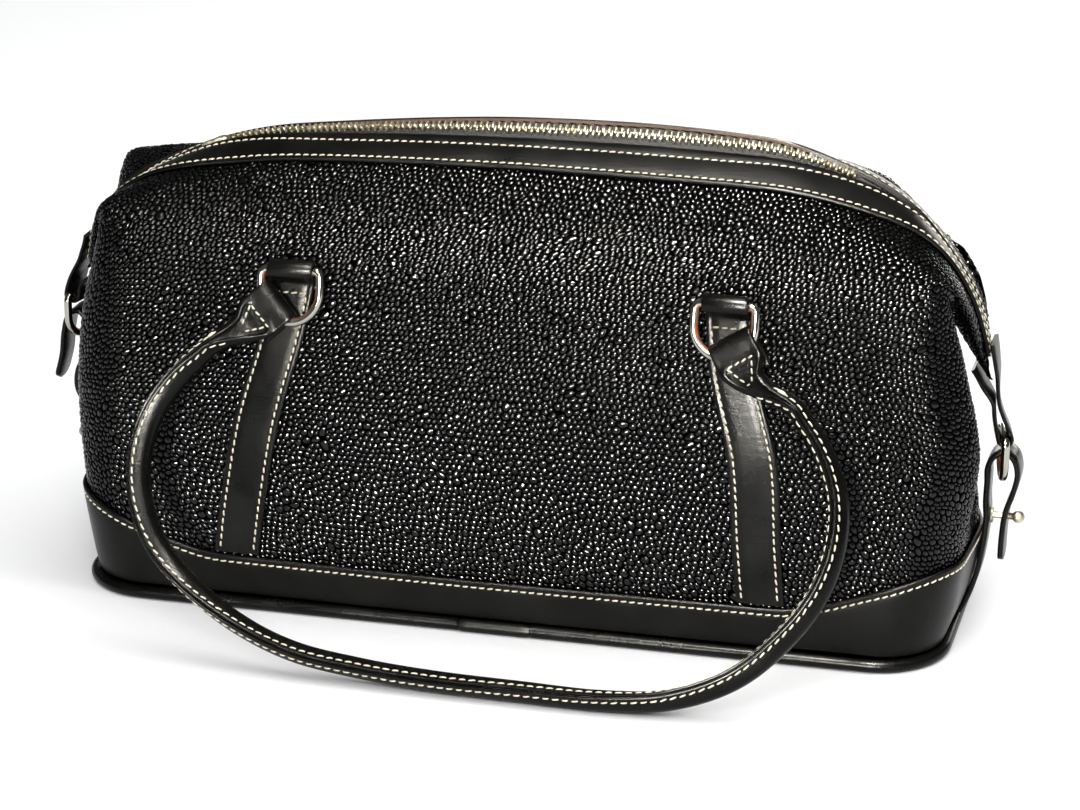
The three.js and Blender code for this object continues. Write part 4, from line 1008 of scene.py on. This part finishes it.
def tabRings(face, hand):
    origin, across, up, normal = ringFrame(face, hand)
    centre = origin - up * ringSize["drop"]
    turn = math.radians(handle["tabTurn"][hand])
    away = across * math.cos(turn) + up * math.sin(turn)
    fold = ringSize["wire"] + handle["tabClear"] + leather["tab"] / 2
    radius = ringSize["width"] / 2 + ringSize["wire"]
    foldReach = math.sqrt(radius ** 2 - handle["tabHalf"] ** 2) - handle["foldSink"]
    flat = tabSection * (leather["tab"] / 2, handle["tabHalf"])
    rings = [placedSection(centre + away * reach - normal * fold, -normal, -away, flat)
             for reach in (handle["tabReach"], foldReach + handle["foldLead"])]
    for angle in np.radians(np.linspace(-90, -270, 9)):
        out = away * math.cos(angle) + normal * math.sin(angle)
        travel = away * math.sin(angle) - normal * math.cos(angle)
        at = centre + away * (foldReach + fold * math.cos(angle)) + normal * fold * math.sin(angle)
        rings.append(placedSection(at, out, travel, flat))
    rings.append(placedSection(centre + away * handle["tabFlat"] + normal * fold, normal, away, flat))
    for reach, lips in zip(handle["lipReach"], (lipWide, lipNear)):
        at = centre + away * reach + normal * fold
        rings.append(placedSection(at, normal, away, wholeSection(lips)))
    side = np.cross(normal, away)
    line = []
    for reach, aside in handle["house"]:
        height = fold + leather["tab"] / 2 + handle["houseRise"] * max(reach - handle["houseFlat"], 0)
        line.append(centre + away * reach + side * aside + normal * height)
    line = resample(np.array(line), 80)
    stitching["handle"].append(stitchRow(line, np.tile(normal, (len(line), 1)), handle["housePitch"]))
    return rings


def tubeRings(face):
    flip = np.array((1, faces[face], 1))
    path = curveThrough(handle["path"], handle["tubeSteps"]) * flip
    ahead = unit(np.gradient(path, axis=0))
    share = np.linspace(0, 1, len(path))
    turn = np.radians(curveAt(handle["turnShare"], handle["turn"], share))[:, None]
    front = np.array(handle["facing"]) * flip
    front = unit(front - ahead * (ahead @ front)[:, None])
    outer = np.cross(ahead, front) * flip[1]
    facing = front * np.cos(turn) + outer * np.sin(turn)
    return [placedSection(path[k], facing[k], ahead[k], tubeSection) for k in range(len(path))]


# Rings between the given ones, on a smooth curve through each corner
def denseRings(rings, steps):
    keys = np.array(rings)
    keys = np.concatenate([2 * keys[:1] - keys[1:2], keys, 2 * keys[-1:] - keys[-2:-1]])
    gaps = np.linalg.norm(np.diff(keys, axis=0).mean(1), axis=1) ** 0.5
    made = [curvePiece(keys[k - 1:k + 3], gaps[k - 1:k + 2], s)
            for k in range(1, len(keys) - 2) for s in np.arange(steps) / steps]
    return np.array([*made, keys[-2]])


for face in faces:
    left = tabRings(face, "left")
    right = [ring[np.r_[0, len(ring) - 1:0:-1]] for ring in tabRings(face, "right")][::-1]
    steps = handle["ringSteps"]
    rings = denseRings([*left, *tubeRings(face), *right], steps)
    rings[..., 2] = np.maximum(rings[..., 2], handle["floor"])
    loftPiece(f"handle_{face}", rings, glazed)
    shown = rings[steps * len(left) - 2:3 - steps * len(right)]
    rows = (stitchCorner, shown.shape[1] - stitchCorner)
    knots = (shown[:handle["knotRings"]], shown[-handle["knotRings"]:])
    knotted = [(part, max(rows, key=lambda row: abs(part[0, row, 0]))) for part in knots]
    for part, corner in [(shown, row) for row in rows] + knotted:
        size = (handle["stitchPitch"],) if part is shown else (handle["knotPitch"], handle["knotThick"])
        stitching["handle"].append(stitchRow(part[:, corner], part[:, corner] - part.mean(1), *size))
print("handles made")

# Ends: strap up each end, the ear's tab and its ring, and the ball stud
ends = {
    "standing": ((7, 0), (16, 0), (28, 0), (42, 0), (55, 0.4), (64, 0.6)),
    "run": {
        "right": ((221.4, 74), (221.4, 81), (224, 86.4), (228.4, 88.8), (233, 86.4), (235.4, 79),
                  (233.6, 68.5), (230.6, 59), (229.4, 48), (229, 34)),
        "left": ((227.6, 73), (231, 80.5), (230.5, 89), (226.6, 98), (224.2, 108), (224.8, 116), (229, 120.6),
                 (234, 118), (236.8, 109), (238.4, 97), (242, 84)),
    },
    "strapWidth": 16, "tabWidth": 17,
    "ear": {"right": {"barX": 227.4, "barZ": 96, "outerTop": 142, "hugEnd": 127,
                      "outer": ((224.4, 113), (227, 105)),
                      "inner": ((222.6, 105), (221.8, 113), (217.4, 120.4)),
                      "innerLevels": (5.9, 5.78)},
            "left": {"barX": 229.5, "barZ": 129, "outerTop": 160, "hugEnd": 147,
                     "outer": ((230.4, 138),), "inner": ((225.2, 134.5), (220.8, 139.4)),
                     "innerLevels": (5.86, 5.74)}},
    "clear": 0.3, "bindingClear": 0.9, "tipRun": 0.03, "tipRound": 0.033,
    "twistFull": 0.45, "twistEase": 0.62, "ringTwist": 12,
    "ring": {"width": 20, "wire": 2, "drop": 9, "corner": 2.5},
}
stud = {"height": 55, "strapBulge": 0.4, "gap": 0.3, "bevel": 0.3, "crown": 0.2, "baseRadius": 4,
        "baseThick": 1.2, "neck": 1.6, "neckLength": {"left": 3, "right": 8.6}, "neckInto": 0.35, "ball": 3,
        "tip": 0.01, "sides": 28}
ribbonAcross = np.array((-1, -0.97, -0.88, -0.4, 0, 0.4, 0.88, 0.97, 1, 0.97, 0.88, 0, -0.88, -0.97))
ribbonAmount = np.array((0, 0.7, 1, 1, 1, 1, 1, 0.7, 0, -0.7, -1, -1, -1, -0.7))


def ribbon(run, sign, width, thick, twist, narrow=1.0):
    ahead = unit(np.gradient(run, axis=0))
    narrow, twist = (np.broadcast_to(v, len(run))[:, None] for v in (narrow, twist))
    across = ribbonAcross * narrow * width / 2
    amount = ribbonAmount * thick / 2
    x = run[:, :1] - ahead[:, 1:] * amount - across * np.sin(twist)
    z = run[:, 1:] + ahead[:, :1] * amount
    return np.stack([sign * x, across * np.cos(twist), z], -1)


def wallX(sign, z):
    station = np.full(len(z), float(sign))
    return np.abs(skin("front", station, levelAtZ("front", station, z))[0][:, 0])


for hand in hands:
    sign = hands[hand]
    ear = ends["ear"][hand]
    standing = np.array(ends["standing"], float)
    strapOut = 2 * leather["layOff"] + leather["band"] + leather["endStrap"] / 2
    rise = np.stack([wallX(sign, standing[:, 0]) + strapOut + standing[:, 1], standing[:, 0]], 1)
    run = curveThrough(np.vstack([rise, ends["run"][hand]]), 110)
    left = 1 - lengths(run) / lengths(run)[-1]
    tip = np.sqrt(1 - (np.clip(ends["tipRun"] - left, 0, 1) / ends["tipRound"]) ** 2)
    rings = ribbon(run, sign, ends["strapWidth"], leather["endStrap"], 0.0, tip)
    loftPiece(f"end_strap_{hand}", rings, strapLeather)

    twist = math.radians(ends["ringTwist"])
    across = np.array((-sign * math.sin(twist), math.cos(twist), 0))
    upward = np.array((0.0, 0.0, 1.0))
    bar = np.array((sign * ear["barX"], 0, ear["barZ"]), float)
    makeRing(f"end_ring_{hand}", ends["ring"], bar, across, upward, np.cross(across, upward))

    fold = ends["ring"]["wire"] + ends["clear"] + leather["strip"] / 2
    ridgeOut = leather["layOff"] + leather["binding"] + ends["bindingClear"] + leather["strip"] / 2
    z = np.linspace(ear["outerTop"], ear["hugEnd"], 4)
    earStation = placeWhere(lambda s: -skin("front", sign * s, ridgeLevel)[0][:, 2], -z, leftEar["start"], 1)
    earX = np.abs(skin("front", sign * earStation, ridgeLevel)[0][:, 0])
    turn = np.linspace(0, -math.pi, 7)
    curl = np.stack([ear["barX"] + fold * np.cos(turn), ear["barZ"] + fold * np.sin(turn)], 1)
    levels = np.array(ear["innerLevels"])
    innerOff = leather["layOff"] + ends["clear"] + leather["strip"] / 2
    inside = np.abs(skin("front", float(sign), levels, innerOff)[0][:, ::2])
    outside = np.stack([earX + ridgeOut, z], 1)
    tab = curveThrough(np.vstack([outside, ear["outer"], curl, ear["inner"], inside]), 90)
    share = np.linspace(0, 1, len(tab))
    twists = twist * easeBetween(0, ends["twistFull"], share) * (1 - easeBetween(ends["twistEase"], 1, share))
    rings = ribbon(tab, sign, ends["tabWidth"], leather["strip"], twists)
    loftPiece(f"ear_tab_{hand}", rings, strapLeather)

    foot, rim, bevel = stud["gap"], stud["baseRadius"], stud["bevel"]
    deck = foot + stud["baseThick"]
    top = deck + stud["neckLength"][hand]
    profile = [(stud["tip"], foot), (rim - bevel, foot), (rim, foot + bevel),
               (rim - bevel, deck - stud["crown"]), (stud["neck"], deck),
               (stud["neck"], top + stud["neckInto"])]
    profile += [(stud["ball"] * math.sin(t), top + stud["ball"] * (1 - math.cos(t)))
                for t in np.radians(np.linspace(35, 176, 13))]
    radius, out = np.array(profile).T
    strapFace = wallX(sign, np.array([stud["height"]])) + strapOut + leather["endStrap"] / 2
    out = out + strapFace + stud["strapBulge"]
    spine = np.stack([sign * out, np.zeros_like(out), np.full_like(out, stud["height"])], 1)
    turn = roundTurn(stud["sides"])
    sideways = np.array([(0.0, 1.0, 0.0)])
    wide, tall = radius[:, None] * np.cos(turn), radius[:, None] * np.sin(turn)
    loftPiece(f"stud_{hand}", ringsRound(spine, sideways, upward[None], wide, tall), brass)
print("ends made")

for name, rows in stitching.items():
    makePiece(f"{name}_stitching", rows, [thread], sharpAngle=180)
print("stitching made")

# Pale studio floor and soft light from above
studio = {"floor": 9.0, "floorTone": "#f4f4f4", "worldTone": "#eef1f6", "worldForLight": 0.12,
          "worldSeen": 1.0, "glintTone": "#fffbf2"}
floorMesh = bpy.data.meshes.new("studio_floor")
edge = studio["floor"]
floorCorners = [(-edge, -edge, 0), (edge, -edge, 0), (edge, edge, 0), (-edge, edge, 0)]
floorMesh.from_pydata(floorCorners, [], [(0, 1, 2, 3)])
floor = bpy.data.objects.new("studio_floor", floorMesh)
bpy.context.scene.collection.objects.link(floor)
paper = bpy.data.materials.new("seamlessPaper")
paper.use_nodes = True
setInputs(paper.node_tree, paper.node_tree.nodes["Principled BSDF"], Base_Color=linear(studio["floorTone"]),
          Roughness=0.9, Specular_IOR_Level=0.1)
floorMesh.materials.append(paper)

world = bpy.data.worlds.new("studio")
bpy.context.scene.world = world
world.use_nodes = True
worldTree = world.node_tree
backdrop = worldTree.nodes["Background"]
seen = addNode(worldTree, "ShaderNodeLightPath").outputs["Is Camera Ray"]
strength = addNode(worldTree, "ShaderNodeMapRange", Value=seen, To_Min=studio["worldForLight"],
                   To_Max=studio["worldSeen"])
setInputs(worldTree, backdrop, Color=linear(studio["worldTone"]), Strength=strength)

# Silks light the leather and leave no glint; softboxes only glint, and a narrow spread is one with a grid
lamps = (
    {"name": "overhead_silk", "at": (0.7, 0.4, 2.4), "aim": (0.7, 0.4, 0), "size": (4.5, 4.5), "watts": 112},
    {"name": "front_silk", "at": (0.2, -2.2, 1.7), "aim": (0, 0, 0), "size": (1.6, 1.0), "watts": 42},
    {"name": "right_silk", "at": (2.2, -0.3, 1.2), "aim": (0.4, -0.1, 0), "size": (1.0, 1.0), "watts": 26},
    {"name": "back_softbox", "at": (0.1, 1.8, 0.3), "aim": (0, 0, 0.1), "size": (1.6, 0.4), "watts": 14},
    {"name": "key_softbox", "at": (0.12, -0.74, 1.4), "aim": (0.17, -0.04, 0.165), "size": (0.34, 0.46),
     "watts": 5.2, "spread": 26},
    {"name": "top_softbox", "at": (0.1, 0.05, 2.0), "aim": (0.1, 0, 0.2), "size": (0.4, 0.4), "watts": 7},
    {"name": "window_softbox", "at": (0.2, -1.5, 1.1), "aim": (0, 0, 0.1), "size": (0.8, 0.35), "watts": 6},
    {"name": "front_softbox", "at": (0.05, -1.85, 0.46), "aim": (0.0, -0.07, 0.06), "size": (0.5, 0.36),
     "watts": 3.2, "spread": 18},
)
for lamp in lamps:
    light = bpy.data.lights.new(lamp["name"], "AREA")
    light.shape = "RECTANGLE"
    light.size, light.size_y = lamp["size"]
    light.energy = lamp["watts"]
    light.spread = math.radians(lamp.get("spread", 180))
    glint = lamp["name"].endswith("softbox")
    if glint:
        light.color = linear(studio["glintTone"])[:3]
    holder = bpy.data.objects.new(lamp["name"], light)
    holder.location = lamp["at"]
    holder.rotation_euler = (Vector(lamp["aim"]) - Vector(lamp["at"])).to_track_quat("-Z", "Y").to_euler()
    holder.visible_glossy = glint
    holder.visible_diffuse = not glint
    bpy.context.scene.collection.objects.link(holder)
bpy.context.scene.view_settings.view_transform = "Standard"

# Camera at the photo's angle: azimuth, elevation and distance round its aim, in degrees and metres
view = {"azimuth": 14.27, "elevation": 20.2, "distance": 1.77, "aim": (0.00385, 0, 0.09),
        "focalPixels": 3673.6}
photoWidth = 1080
cameraData = bpy.data.cameras.new("camera")
cameraData.sensor_width = 36
cameraData.lens = view["focalPixels"] / photoWidth * cameraData.sensor_width
camera = bpy.data.objects.new("camera", cameraData)
a, e = math.radians(view["azimuth"]), math.radians(view["elevation"])
back = Vector((math.sin(a) * math.cos(e), -math.cos(a) * math.cos(e), math.sin(e)))
camera.location = Vector(view["aim"]) + back * view["distance"]
camera.rotation_euler = (-back).to_track_quat("-Z", "Y").to_euler()
bpy.context.scene.collection.objects.link(camera)
bpy.context.scene.camera = camera

print("studio made")
